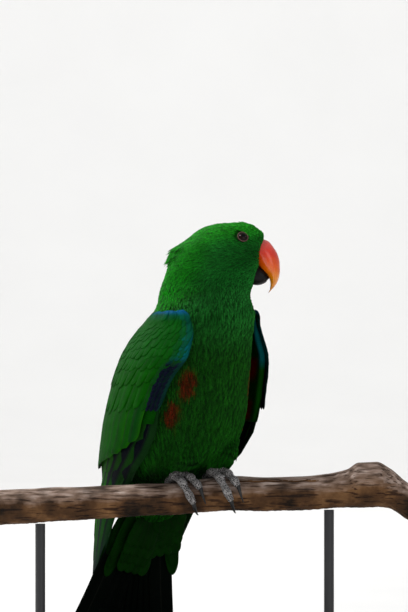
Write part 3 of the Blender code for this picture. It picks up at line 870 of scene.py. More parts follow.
@dataclass(frozen=True)
class ScaleFinish:
    """Grey scaly skin of the toes, on object coordinates."""

    name: str = "toe_scales"

    def make(self) -> Material:
        """Builds the material.

        Returns:
            The material.
        """
        t = Tree(self.name)
        place = t.node("ShaderNodeTexCoord").outputs["Object"]
        cells = t.feed(t.node("ShaderNodeTexVoronoi", feature="DISTANCE_TO_EDGE"), Vector=place,
                       Scale=620.0)
        gap = t.ramp(cells.outputs[0], ((0.0, (0.0,) * 3), (0.16, (1.0,) * 3)))
        colour = t.mix(gap, linear(168, 164, 162), linear(44, 41, 40))
        cloud = t.cloud(160.0, 3.0, 0.75, 1.25)
        colour = t.times(colour, cloud)
        t.feed(t.shader, Base_Color=colour, Roughness=0.55)
        t.bump(gap, 0.55, 0.0003)
        return t.material


@dataclass(frozen=True)
class BarkFinish:
    """Bark that is smooth on top and rough below, painted light grey on top as lit and dark brown
    below as shaded.
    """

    name: str = "bark_skin"

    def make(self) -> Material:
        """Builds the material.

        Returns:
            The material.
        """
        t = Tree(self.name)
        place = t.node("ShaderNodeTexCoord").outputs["Object"]
        # The attribute along carries painted light: high on the lit top, low on the shaded
        # underside, lowest in the crack.
        painted_light = t.attribute("along")
        long = t.feed(t.node("ShaderNodeMapping"), Vector=place)
        long.inputs["Scale"].default_value = (0.22, 1.0, 1.0)
        streaks = t.noise(260.0, 8.0, long.outputs[0])
        fine = t.feed(t.node("ShaderNodeMapping"), Vector=place)
        fine.inputs["Scale"].default_value = (0.1, 1.0, 1.0)
        cracks = t.ramp(t.noise(520.0, 5.0, fine.outputs[0]),
                        ((0.37, (0.26, 0.22, 0.19)), (0.46, (1.0, 1.0, 1.0))))
        patches = t.noise(38.0, 5.0)
        upper = t.ramp(streaks, ((0.32, linear(70, 54, 42)), (0.5, linear(134, 112, 98)),
                                 (0.68, linear(182, 162, 150))))
        lower = t.ramp(patches, ((0.34, linear(26, 16, 6)), (0.5, linear(84, 56, 32)),
                                 (0.66, linear(136, 98, 62))))
        edge = t.math("ADD", painted_light, t.math("MULTIPLY", t.math("SUBTRACT", patches, 0.5), 1.1))
        share = t.ramp(edge, ((0.62, (0.0,) * 3), (0.95, (1.0,) * 3)))
        colour = t.times(t.mix(share, lower, upper), cracks)
        t.feed(t.shader, Base_Color=colour, Roughness=0.86, Specular_IOR_Level=0.25)
        t.bump(t.math("ADD", streaks, t.noise(420.0, 4.0)), 0.8, 0.001)
        return t.material


# Plumage colours


class Green(Enum):
    """Plumage colours of the male bird, as seen on a screen."""

    CROWN = (20, 116, 14)
    NAPE = (14, 108, 12)
    CHEEK = (26, 110, 38)
    THROAT = (32, 112, 42)
    CHEST = (16, 70, 8)
    BELLY = (12, 70, 4)
    BACK = (16, 92, 8)
    WING_TOP = (10, 74, 14)
    WING_MID = (8, 68, 3)
    WING_EDGE = (40, 116, 4)
    TURQUOISE = (4, 84, 88)
    RIM_BLUE = (14, 92, 150)
    NAVY = (10, 9, 30)
    RED = (92, 3, 4)
    BLACK = (7, 8, 8)
    COVERT = (12, 50, 6)

    def tone(self) -> Array:
        """The colour as three scene values."""
        return linear(*self.value)


def blend(first: Array, second: Array, share: Array) -> Array:
    """Mixes colours.

    Args:
        first: One colour, or one a point, where share is 0.
        second: The same where share is 1.
        share: One value, or one a point.

    Returns:
        The mixed colours.
    """
    share = np.clip(np.asarray(share, float), 0.0, 1.0)[..., None]
    return first * (1.0 - share) + second * share


def ripple(points: Array, size: float, turn: float = 0.0) -> Array:
    """Smooth unevenness between -1 and 1.

    Args:
        points: Places in millimetres.
        size: Length of a wave in millimetres.
        turn: Offset of the waves.

    Returns:
        One value a point.
    """
    x, y, z = (points[..., i] / size for i in range(3))
    return (np.sin(2.1 * x + 1.3 * y + turn) + np.sin(1.7 * y - 2.3 * z + 2.0 * turn)
            + np.sin(1.9 * z + 1.1 * x - turn)) / 3.0


def body_tint(points: Array, z: Array, angle: Array) -> Array:
    """The markings of head, neck and torso, shared by skin and coat.

    Args:
        points: Places in millimetres.
        z: Heights.
        angle: Radians from straight ahead toward the bird's right.

    Returns:
        One colour a point.
    """
    facing = np.cos(angle)
    colour = blend(Green.CHEST.tone(), Green.BELLY.tone(), smooth(215.0, 165.0, z))
    colour = blend(colour, Green.BACK.tone(), smooth(0.1, -0.5, facing))
    colour = blend(colour, Green.THROAT.tone(), smooth(248.0, 298.0, z) * smooth(-0.2, 0.4, facing))
    colour = blend(colour, Green.NAPE.tone(), smooth(276.0, 296.0, z) * smooth(0.3, -0.4, facing))
    colour = blend(colour, Green.CHEEK.tone(), smooth(300.0, 312.0, z) * smooth(-0.5, 0.2, facing))
    colour = blend(colour, Green.CROWN.tone(), smooth(334.0, 350.0, z))
    turn = np.degrees(np.abs(np.arctan2(np.sin(angle), np.cos(angle))))
    uneven = 0.22 * ripple(points, 2.6, 0.6)
    flank = np.zeros_like(z)
    for middle, wide, height, tall in ((48.5, 11.5, 234.0, 15.0), (60.0, 9.5, 210.0, 12.0)):
        gap = np.hypot((turn - middle) / wide, (z - height) / tall) + uneven
        flank = np.maximum(flank, smooth(1.0, 0.6, gap))
    return blend(colour, Green.RED.tone(), 0.97 * flank)


# Soft coat


@dataclass
class Seeds:
    """Roots of tufts, with how each lies."""

    place: Array
    normal: Array
    lie: Array
    size: Array
    tint: Array
    home: Array

    def part(self, chosen: Array) -> "Seeds":
        """The roots with these numbers or marks."""
        return Seeds(*(getattr(self, item.name)[chosen] for item in fields(self)))


@dataclass
class Trunk:
    """Head, neck, torso and thighs as one skin with a coat of soft feathers."""

    coat_depth: float = 3.4
    face_depth: float = 1.5
    seed: int = 11
    bill_root: tuple[float, float, float] = (47.0, -24.5, 330.0)
    piece_limit: int = 2900
    skin_cell: float = 0.0013
    crown_top: float = 355.1     # of the skin; the tufts on it reach the crown's outline
    thighs: tuple[tuple[float, float], ...] = ((-20.0, 1.0), (10.0, -1.0))
    rows: int = 240
    around: int = 200

    def depth(self, z: Array) -> Array:
        """How far the skin lies inside the outline at a height, in millimetres."""
        return self.coat_depth + (self.face_depth - self.coat_depth) * smooth(296.0, 330.0, z)

    def shape(self, z: Array, angle: Array) -> Array:
        """Points on the skin by height and angle from straight ahead, in millimetres."""
        return trunk_point(z, angle, -self.depth(z))

    def heights(self) -> Array:
        """Heights of the skin's rings, set closer near the crown.

        Returns:
            Heights from the rump up.
        """
        low = np.linspace(RUMP_BASE + 3.0, 340.0, self.rows)
        ease = np.linspace(0.0, 1.0, 40)[1:]
        return np.concatenate([low, 340.0 + (self.crown_top - 340.0) * np.sin(ease * math.pi / 2)])

    def skin(self, finish: Material) -> Object:
        """Builds the skin as one closed mesh.

        Args:
            finish: Its material.

        Returns:
            The skin.
        """
        heights = self.heights()
        angles = even_turns(self.around)
        rings = [self.shape(np.full_like(angles, z), angles) for z in heights]
        pieces = [loft("skin_trunk", rings, finish)]
        for along, side in self.thighs:
            path, radii = self.thigh(along, side)
            pieces.append(tube("skin_thigh", path, radii - 2.6, 40, finish))
        made = welded(pieces, "skin", finish, self.skin_cell, 6)
        flat = np.zeros(len(made.data.vertices) * 3)
        made.data.vertices.foreach_get("co", flat)
        points = flat.reshape(-1, 3) / MM
        z = points[:, 2]
        row = TRUNK.at(z)
        rel = points - bird(row[:, 0], row[:, 1], z)
        head = row[:, 2]
        angle = np.arctan2((rel * rightward(head)).sum(1), (rel * forward(head)).sum(1))
        # The skin takes the markings at half strength: painted shade where it shows between the
        # tufts.
        painted(made.data, body_tint(points, z, angle) * 0.5, {"Surface": self.home(angle, z)})
        return made

    @staticmethod
    def home(angle: Array, z: Array) -> Array:
        """Places on the trunk's map by angle round it and height."""
        return np.stack([(angle / math.tau) % 1.0, (z - 110.0) / 260.0], axis=1)

    @staticmethod
    def thigh(along: float, side: float) -> tuple[Array, Array]:
        """Middle line and thickness of a thigh.

        Args:
            along: Place of its foot along the perch.
            side: 1 for the bird's right.

        Returns:
            Points and radii in millimetres.
        """
        top, knee = bird(2.0, side * 19.0, 190.0), bird(6.0, side * 16.0, 176.0)
        low = np.array((along, 4.0, 165.5)) + FRAME_SHIFT
        path = np.stack([top, knee + 0.3 * (low - knee), knee + 0.75 * (low - knee), low,
                         low + (0.0, -1.0, -3.6)])
        steps = np.linspace(0, 4, 13)
        radii = np.interp(steps, range(5), (15.5, 14.0, 11.5, 9.0, 6.6))
        return np.stack([np.interp(steps, range(5), path[:, i]) for i in range(3)], axis=1), radii

    def row_heights(self) -> list[float]:
        """Heights of the rows of roots, evenly spaced along the surface.

        Returns:
            Heights from the rump up.
        """
        z = np.linspace(RUMP_BASE + 4.0, self.crown_top, 2400)
        side = self.shape(z, np.full_like(z, math.pi / 2))
        back = self.shape(z, np.full_like(z, math.pi))
        step = (np.linalg.norm(np.diff(side, axis=0), axis=1)
                + np.linalg.norm(np.diff(back, axis=0), axis=1)) / 2
        space = self.spacing(z)[:-1]
        count = np.concatenate([[0.0], np.cumsum(step / space)])
        return list(np.interp(np.arange(0.5, count[-1], 1.0), count, z))

    @staticmethod
    def spacing(z: Array) -> Array:
        """Distance between neighbouring roots at a height, in millimetres."""
        return 2.1 - 1.0 * smooth(284.0, 322.0, z)

    def lie(self, points: Array, normal: Array, z: Array) -> Array:
        """Which way feathers lie: back from the bill on the head, down the body.

        Args:
            points: Places on the skin.
            normal: Outward directions there.
            z: Heights.

        Returns:
            Unit vectors along the skin.
        """
        away = points - np.array(self.bill_root)
        away /= np.linalg.norm(away, axis=1)[:, None] + 1e-9
        down = np.broadcast_to(np.array((-0.10, 0.04, -1.0)), points.shape)
        share = smooth(296.0, 324.0, z)[:, None]
        way = down * (1.0 - share) + away * share
        way = way - normal * (way * normal).sum(1)[:, None]
        return way / (np.linalg.norm(way, axis=1)[:, None] + 1e-9)

    def roots(self) -> Seeds:
        """Works out every tuft of the trunk.

        Returns:
            The roots.
        """
        random = np.random.default_rng(self.seed)
        zs, angles = [], []
        for number, z in enumerate(self.row_heights()):
            probe = np.linspace(0.0, math.tau, 96)
            ring = self.shape(np.full_like(probe, z), probe)
            arc = np.concatenate([[0.0], np.cumsum(np.linalg.norm(np.diff(ring, axis=0), axis=1))])
            count = max(int(arc[-1] / float(self.spacing(np.array(z)))), 5)
            marks = (np.arange(count) + 0.5 * (number % 2) + random.uniform(-0.3, 0.3, count))
            angles.append(np.interp((marks / count) % 1.0 * arc[-1], arc, probe))
            zs.append(np.clip(z + random.normal(0.0, 0.35, count), RUMP_BASE + 3.0, self.crown_top))
        z, angle = np.concatenate(zs), np.concatenate(angles)
        share = np.ones(len(z))
        for inner in (0.82, 0.62, 0.42, 0.2):
            count = int(26 * inner) + 2
            angle = np.concatenate([angle, even_turns(count)])
            z = np.concatenate([z, np.full(count, self.crown_top)])
            share = np.concatenate([share, np.full(count, inner)])
        point = self.shape(z, angle)
        along = self.shape(z, angle + 0.01) - point
        up = self.shape(z + 0.05, angle) - point
        normal = np.cross(along, up)
        normal /= np.linalg.norm(normal, axis=1)[:, None] + 1e-12
        inward = (normal * (point - bird(*TRUNK.at(z)[:, :2].T, z))).sum(1) < 0
        normal[inward] *= -1.0
        middle = self.shape(np.full(8, self.crown_top), even_turns(8))
        cap = (share < 1.0)[:, None]
        point = np.where(cap, middle.mean(axis=0) + (point - middle.mean(axis=0))
                         * share[:, None], point)
        normal = np.where(cap, normal * share[:, None] + (0.0, 0.0, 1.0), normal)
        normal /= np.linalg.norm(normal, axis=1)[:, None]
        turn = np.degrees(np.abs((angle + math.pi) % math.tau - math.pi))
        span = SPAN.at(z)
        hidden = (z < 262.0) & (z > 156.0) & (turn > span[:, 0] + 16.0) & (turn < span[:, 1] - 10.0)
        keep = ~hidden & ~self.bare(point, z)
        point, normal, z, angle = point[keep], normal[keep], z[keep], angle[keep]
        lie = self.lie(point, normal, z)
        spin = random.normal(0.0, 0.13, len(z))
        lie = lie * np.cos(spin)[:, None] + np.cross(normal, lie) * np.sin(spin)[:, None]
        reach = np.linalg.norm(point - np.array(self.bill_root), axis=1)
        length = 2.4 + 0.085 * np.clip(reach - 6.0, 0.0, 90.0)
        length = length + 3.5 * smooth(300.0, 240.0, z)
        length = length + 1.5 * smooth(322.0, 296.0, z) * smooth(0.2, -0.6, np.cos(angle))
        length *= random.uniform(0.85, 1.2, len(z))
        crest = smooth(327.0, 331.0, z) * smooth(342.0, 337.0, z)
        crest = crest * smooth(-0.75, -0.92, np.cos(angle))
        length = length * (1.0 + 0.32 * crest)
        normal = normal - 0.3 * crest[:, None] * lie
        width = np.clip(0.36 * length, 1.2, 4.0)
        high = 3.9 * self.depth(z) * (1.0 - 0.45 * smooth(350.0, 355.0, z))
        size = np.stack([width, length, high], axis=1)
        tint = body_tint(point, z, angle)
        tint = tint * (1.0 + 0.09 * random.normal(0.0, 1.0, len(z))[:, None]).clip(0.6, 1.4)
        return Seeds(point, normal, lie, size, tint, self.home(angle, z))

    def bare(self, point: Array, z: Array) -> Array:
        """Marks the places that carry no tuft: the eyes and the root of the bill.

        Args:
            point: Places on the skin.
            z: Not used.

        Returns:
            True where bare.
        """
        marks = np.linalg.norm((point - np.array(self.bill_root)) / (6.0, 9.5, 11.0), axis=1) < 1.0
        for side in (1, -1):
            centre, _ = eye_place(side)
            marks |= np.linalg.norm(point - centre, axis=1) < 5.7
        return marks

    def thigh_roots(self) -> Seeds:
        """Works out the tufts of the two thighs.

        Returns:
            The roots.
        """
        random = np.random.default_rng(self.seed + 1)
        rows = []
        for along, side in self.thighs:
            path, radii = self.thigh(along, side)
            for t in np.arange(0.06, 0.97, 0.055):
                place = np.array([np.interp(t * 12, range(13), path[:, i]) for i in range(3)])
                after = np.array([np.interp(t * 12 + 0.4, range(13), path[:, i])
                                  for i in range(3)])
                way = (after - place) / (np.linalg.norm(after - place) + 1e-9)
                radius = float(np.interp(t * 12, range(13), radii)) - 2.4
                one = np.cross(way, (1.0, 0.0, 0.1))
                one /= np.linalg.norm(one)
                two = np.cross(way, one)
                for a in np.arange(0.0, math.tau, 2.3 / radius) + random.uniform(0, 1):
                    out = one * math.cos(a) + two * math.sin(a)
                    rows.append(np.concatenate([place + out * radius, out, way]))
        table = np.array(rows)
        point, normal, lie = table[:, :3], table[:, 3:6], table[:, 6:]
        lie = lie - normal * (lie * normal).sum(1)[:, None]
        lie += random.normal(0.0, 0.1, lie.shape)
        lie /= np.linalg.norm(lie, axis=1)[:, None]
        count = len(point)
        length = random.uniform(6.5, 9.0, count)
        size = np.stack([0.42 * length, length, np.full(count, 8.0)], axis=1)
        tint = np.broadcast_to(Green.BELLY.tone(), point.shape)
        tint = tint * (1.0 + 0.16 * random.normal(0.0, 1.0, count)[:, None]).clip(0.5, 1.6)
        home = np.stack([0.3 + 0.002 * (point[:, 0] + 40.0), 0.02 + 0.002 * (point[:, 2] - 150.0)],
                        axis=1)
        return Seeds(point, normal, lie, size, tint, home)


class TuftSet:
    """The shapes of tuft that the coat repeats."""

    def __init__(self, strands: int = 6, seed: int = 5, kinds: int = 4) -> None:
        """Builds the shapes into a collection that isn't shown.

        Args:
            strands: Strands in a tuft.
            seed: Seed of their unevenness.
            kinds: How many shapes.
        """
        self.kinds = kinds
        self.group = bpy.data.collections.new("tuft_shapes")
        random = np.random.default_rng(seed)
        for kind in range(kinds):
            points, faces, along, local, shade = [], [], [], [], []
            for strand in range(strands):
                spread = (strand - (strands - 1) / 2) / ((strands - 1) / 2)
                length = 1.0 - 0.26 * abs(spread) ** 1.6 + random.uniform(-0.08, 0.08)
                root = np.array((0.16 * spread, random.uniform(-0.06, 0.1), 0.0))
                middle = np.array((0.36 * spread, 0.5 * length, random.uniform(0.14, 0.18)))
                tip = np.array((0.46 * spread + random.uniform(-0.05, 0.05), length,
                                random.uniform(0.10, 0.17)))
                base = len(points)
                tone = random.choice((0.35, 0.7, 1.0, 1.3, 1.9))
                for centre, wide, high, t in ((root, 0.1, 0.06, 0.0),
                                              (middle, 0.085, 0.06, 0.5)):
                    for dx, dz in ((-1.0, -0.4), (1.0, -0.4), (0.0, 1.0)):
                        points.append(centre + (dx * wide, 0.0, dz * high))
                        along.append(t)
                        shade.append(tone)
                        local.append((0.5 + centre[0] + dx * wide, t))
                points.append(tip)
                along.append(1.0)
                shade.append(tone)
                local.append((0.5 + tip[0], 1.0))
                for k in range(3):
                    n = (k + 1) % 3
                    faces.append((base + k, base + n, base + 3 + n))
                    faces.append((base + k, base + 3 + n, base + 3 + k))
                    faces.append((base + 3 + k, base + 3 + n, base + 6))
                faces.append((base + 2, base + 1, base))
            made = new_object(f"tuft_{kind}", np.array(points) / MM, faces, None)
            outward(made)
            for name, values, form in (("along", np.array(along), "FLOAT"),
                                       ("strand", np.array(shade), "FLOAT"),
                                       ("local", np.array(local), "FLOAT2")):
                layer = made.data.attributes.new(name, form, "POINT")
                layer.data.foreach_set("value" if form == "FLOAT" else "vector", values.ravel())
            bpy.context.scene.collection.objects.unlink(made)
            self.group.objects.link(made)

    def remove(self) -> None:
        """Removes the shapes and their collection."""
        for made in list(self.group.objects):
            bpy.data.objects.remove(made)
        bpy.data.collections.remove(self.group)


class TuftSpreader(Nodes):
    """A Geometry Nodes group that sets a tuft on every root and makes it plain mesh."""

    def __init__(self, shapes: TuftSet, finish: Material) -> None:
        """Builds the node group.

        Args:
            shapes: The tufts it repeats.
            finish: The coat's material.
        """
        self.shapes = shapes
        self.finish = finish
        self.tree = bpy.data.node_groups.new("Spread Tufts", "GeometryNodeTree")
        self.sockets = {}
        for name, kind in (("Geometry", "NodeSocketGeometry"), ("Tufts", "NodeSocketCollection"),
                           ("Finish", "NodeSocketMaterial"), ("Seed", "NodeSocketInt"),
                           ("Patch", "NodeSocketFloat"), ("Least", "NodeSocketFloat"),
                           ("Most", "NodeSocketFloat")):
            socket = self.tree.interface.new_socket(name, in_out="INPUT", socket_type=kind)
            self.sockets[name] = socket.identifier
        self.tree.interface.new_socket("Geometry", in_out="OUTPUT",
                                        socket_type="NodeSocketGeometry")
        self.wire()

    def named(self, name: str, form: str) -> NodeSocket:
        """The socket of an attribute by its name and data type."""
        made = self.node("GeometryNodeInputNamedAttribute", data_type=form)
        made.inputs["Name"].default_value = name
        return made.outputs["Attribute"]

    def wire(self) -> None:
        """Adds and links the group's nodes."""
        start, end = self.node("NodeGroupInput").outputs, self.node("NodeGroupOutput")
        shapes = self.feed(self.node("GeometryNodeCollectionInfo", transform_space="ORIGINAL"),
                           Collection=start["Tufts"], Separate_Children=True,
                           Reset_Children=True)
        turn = self.node("FunctionNodeAxesToRotation", primary_axis="Z", secondary_axis="Y")
        self.feed(turn, i0=self.named("normal_way", "FLOAT_VECTOR"),
                  i1=self.named("lie_way", "FLOAT_VECTOR"))
        pick = self.feed(self.node("FunctionNodeRandomValue", data_type="INT"),
                         Seed=start["Seed"])
        ints = [s for s in pick.inputs if s.type == "INT"]
        ints[0].default_value, ints[1].default_value = 0, self.shapes.kinds - 1
        grow = self.feed(self.node("FunctionNodeRandomValue", data_type="FLOAT"),
                         Seed=start["Seed"])
        floats = [s for s in grow.inputs if s.type == "VALUE"]
        self.tree.links.new(start["Least"], floats[0])
        self.tree.links.new(start["Most"], floats[1])
        scale = self.feed(self.node("ShaderNodeVectorMath", operation="SCALE"),
                          i0=self.named("size", "FLOAT_VECTOR"), Scale=grow.outputs[1])
        put = self.feed(self.node("GeometryNodeInstanceOnPoints"), Points=start["Geometry"],
                        Instance=shapes.outputs[0], Pick_Instance=True,
                        Instance_Index=[s for s in pick.outputs if s.type == "INT"][0],
                        Rotation=turn.outputs[0], Scale=scale.outputs[0])
        real = self.feed(self.node("GeometryNodeRealizeInstances"), i0=put.outputs[0])
        patch = self.feed(self.node("ShaderNodeVectorMath", operation="SCALE"),
                          i0=self.named("local", "FLOAT_VECTOR"), Scale=start["Patch"])
        place = self.feed(self.node("ShaderNodeVectorMath", operation="ADD"),
                          i0=self.named("home", "FLOAT_VECTOR"), i1=patch.outputs[0])
        store = self.node("GeometryNodeStoreNamedAttribute", data_type="FLOAT2",
                          domain="CORNER")
        self.feed(store, Name="OFBake", Geometry=real.outputs[0], Value=place.outputs[0])
        dress = self.feed(self.node("GeometryNodeSetMaterial"), Geometry=store.outputs[0],
                          Material=start["Finish"])
        self.feed(end, i0=dress.outputs[0])

    def spread(self, name: str, seeds: Seeds, seed: int) -> Object:
        """Makes one piece of coat.

        Args:
            name: Its name.
            seeds: Its roots.
            seed: Seed of the group's unevenness.

        Returns:
            The piece, as plain mesh.
        """
        mesh = bpy.data.meshes.new(name + "_roots")
        mesh.from_pydata((seeds.place * MM).tolist(), [], [])
        for word, rows in (("normal_way", seeds.normal), ("lie_way", seeds.lie),
                           ("size", seeds.size * MM),
                           ("home", np.pad(seeds.home, ((0, 0), (0, 1))))):
            layer = mesh.attributes.new(word, "FLOAT_VECTOR", "POINT")
            layer.data.foreach_set("vector", np.asarray(rows, float).ravel())
        tint = mesh.attributes.new("tint", "FLOAT_COLOR", "POINT")
        tint.data.foreach_set("color", np.pad(seeds.tint, ((0, 0), (0, 1)),
                                              constant_values=1.0).ravel())
        roots = linked(name + "_roots", mesh)
        change = roots.modifiers.new("Coat", "NODES")
        change.node_group = self.tree
        for word, value in (("Tufts", self.shapes.group), ("Finish", self.finish),
                            ("Seed", seed), ("Patch", 0.003), ("Least", 0.88), ("Most", 1.14)):
            change[self.sockets[word]] = value
        made = baked(roots, name, self.finish)
        for word in ("normal_way", "lie_way", "size", "home", "local"):
            layer = made.data.attributes.get(word)
            if layer is not None:
                made.data.attributes.remove(layer)
        return made


# Firm feathers


class Kind(Enum):
    """Kinds of firm feather, which carry different markings."""

    PRIMARY = "primary"
    SECONDARY = "secondary"
    COVERT = "covert"
    BEND = "bend"
    TAIL = "tail"
    LOBE = "lobe"


class VaneSheet:
    """Gathers thin vanes into one mesh with their tints and maps."""

    def __init__(self, name: str, cells: int = 14) -> None:
        """Starts an empty sheet.

        Args:
            name: Name of the mesh.
            cells: Cells along a side of its baking map.
        """
        self.name = name
        self.cells = cells
        self.points: list[Array] = []
        self.faces: list[tuple[int, ...]] = []
        self.tints: list[Array] = []
        self.maps: list[Array] = []
        self.homes: list[Array] = []
        self.start = 0

    def add(self, upper: Array, lower: Array, tint: Array) -> None:
        """Adds a vane.

        Args:
            upper: Grid of points of its outer face.
            lower: Grid of points of its inner face.
            tint: One colour for each point of the grid.
        """
        rows, columns = upper.shape[:2]
        loop = np.concatenate([upper, lower[:, ::-1]], axis=1)
        # Painted shade: the inner face of every vane takes its tint at three quarters.
        dark = np.concatenate([tint, tint[:, ::-1] * 0.75], axis=1)
        t = np.linspace(0.0, 1.0, rows)
        s = np.linspace(0.0, 1.0, columns)
        turn = np.concatenate([s, s[::-1]])
        grid = np.stack(np.broadcast_arrays(turn[None, :], t[:, None]), axis=-1)
        number = len(self.points)
        corner = np.array((number % self.cells, (number // self.cells) % self.cells))
        shrink = np.concatenate([s * 0.44, 0.5 + s[::-1] * 0.44]) + 0.02
        home = np.stack(np.broadcast_arrays(shrink[None, :], 0.03 + 0.94 * t[:, None]), axis=-1)
        self.faces += grid_faces(rows, 2 * columns, self.start, closed=True)
        ring = 2 * columns
        self.faces.append(tuple(range(self.start + ring - 1, self.start - 1, -1)))
        last = self.start + (rows - 1) * ring
        self.faces.append(tuple(range(last, last + ring)))
        self.points.append(loop.reshape(-1, 3))
        self.tints.append(dark.reshape(-1, 3))
        self.maps.append(grid.reshape(-1, 2))
        self.homes.append(((home + corner) / self.cells).reshape(-1, 2))
        self.start += rows * ring

    def finish(self, material: Material) -> Object:
        """Turns the sheet into an object.

        Args:
            material: Its material.

        Returns:
            The object.
        """
        made = new_object(self.name, np.concatenate(self.points), self.faces, material,
                          np.concatenate(self.tints),
                          {"Vane": np.concatenate(self.maps), "OFBake": np.concatenate(self.homes)})
        return outward(made)


def vane_width(t: Array, kind: Kind) -> Array:
    """Share of a vane's full width along it.

    Args:
        t: Distance along, 0 to 1.
        kind: Its kind.

    Returns:
        Shares of the width.
    """
    round_from = {Kind.PRIMARY: 0.72, Kind.SECONDARY: 0.82, Kind.TAIL: 0.86}.get(kind, 0.5)
    root = 0.55 + 0.45 * smooth(0.0, 0.22, t)
    tip = np.clip((t - round_from) / (1.0 - round_from), 0.0, 1.0)
    return root * np.sqrt(np.maximum(1.0 - tip ** 2.2, 0.004))


@dataclass(frozen=True)
class Quill:
    """One feather's path over the wing."""

    kind: Kind
    root: tuple[float, float]
    tip: tuple[float, float]
    width: float
    stations: tuple[float, ...]
    lifts: tuple[float, ...]

    def degrees(self, z: Array) -> Array:
        """Angle of the feather's line at a height.

        Args:
            z: Height.

        Returns:
            Degrees from straight ahead.
        """
        t = np.clip((self.root[0] - z) / (self.root[0] - self.tip[0]), 0.0, 1.0)
        span = SPAN.at(z)
        return span[..., 0] + (span[..., 1] - span[..., 0]) * (
            self.root[1] + (self.tip[1] - self.root[1]) * t)


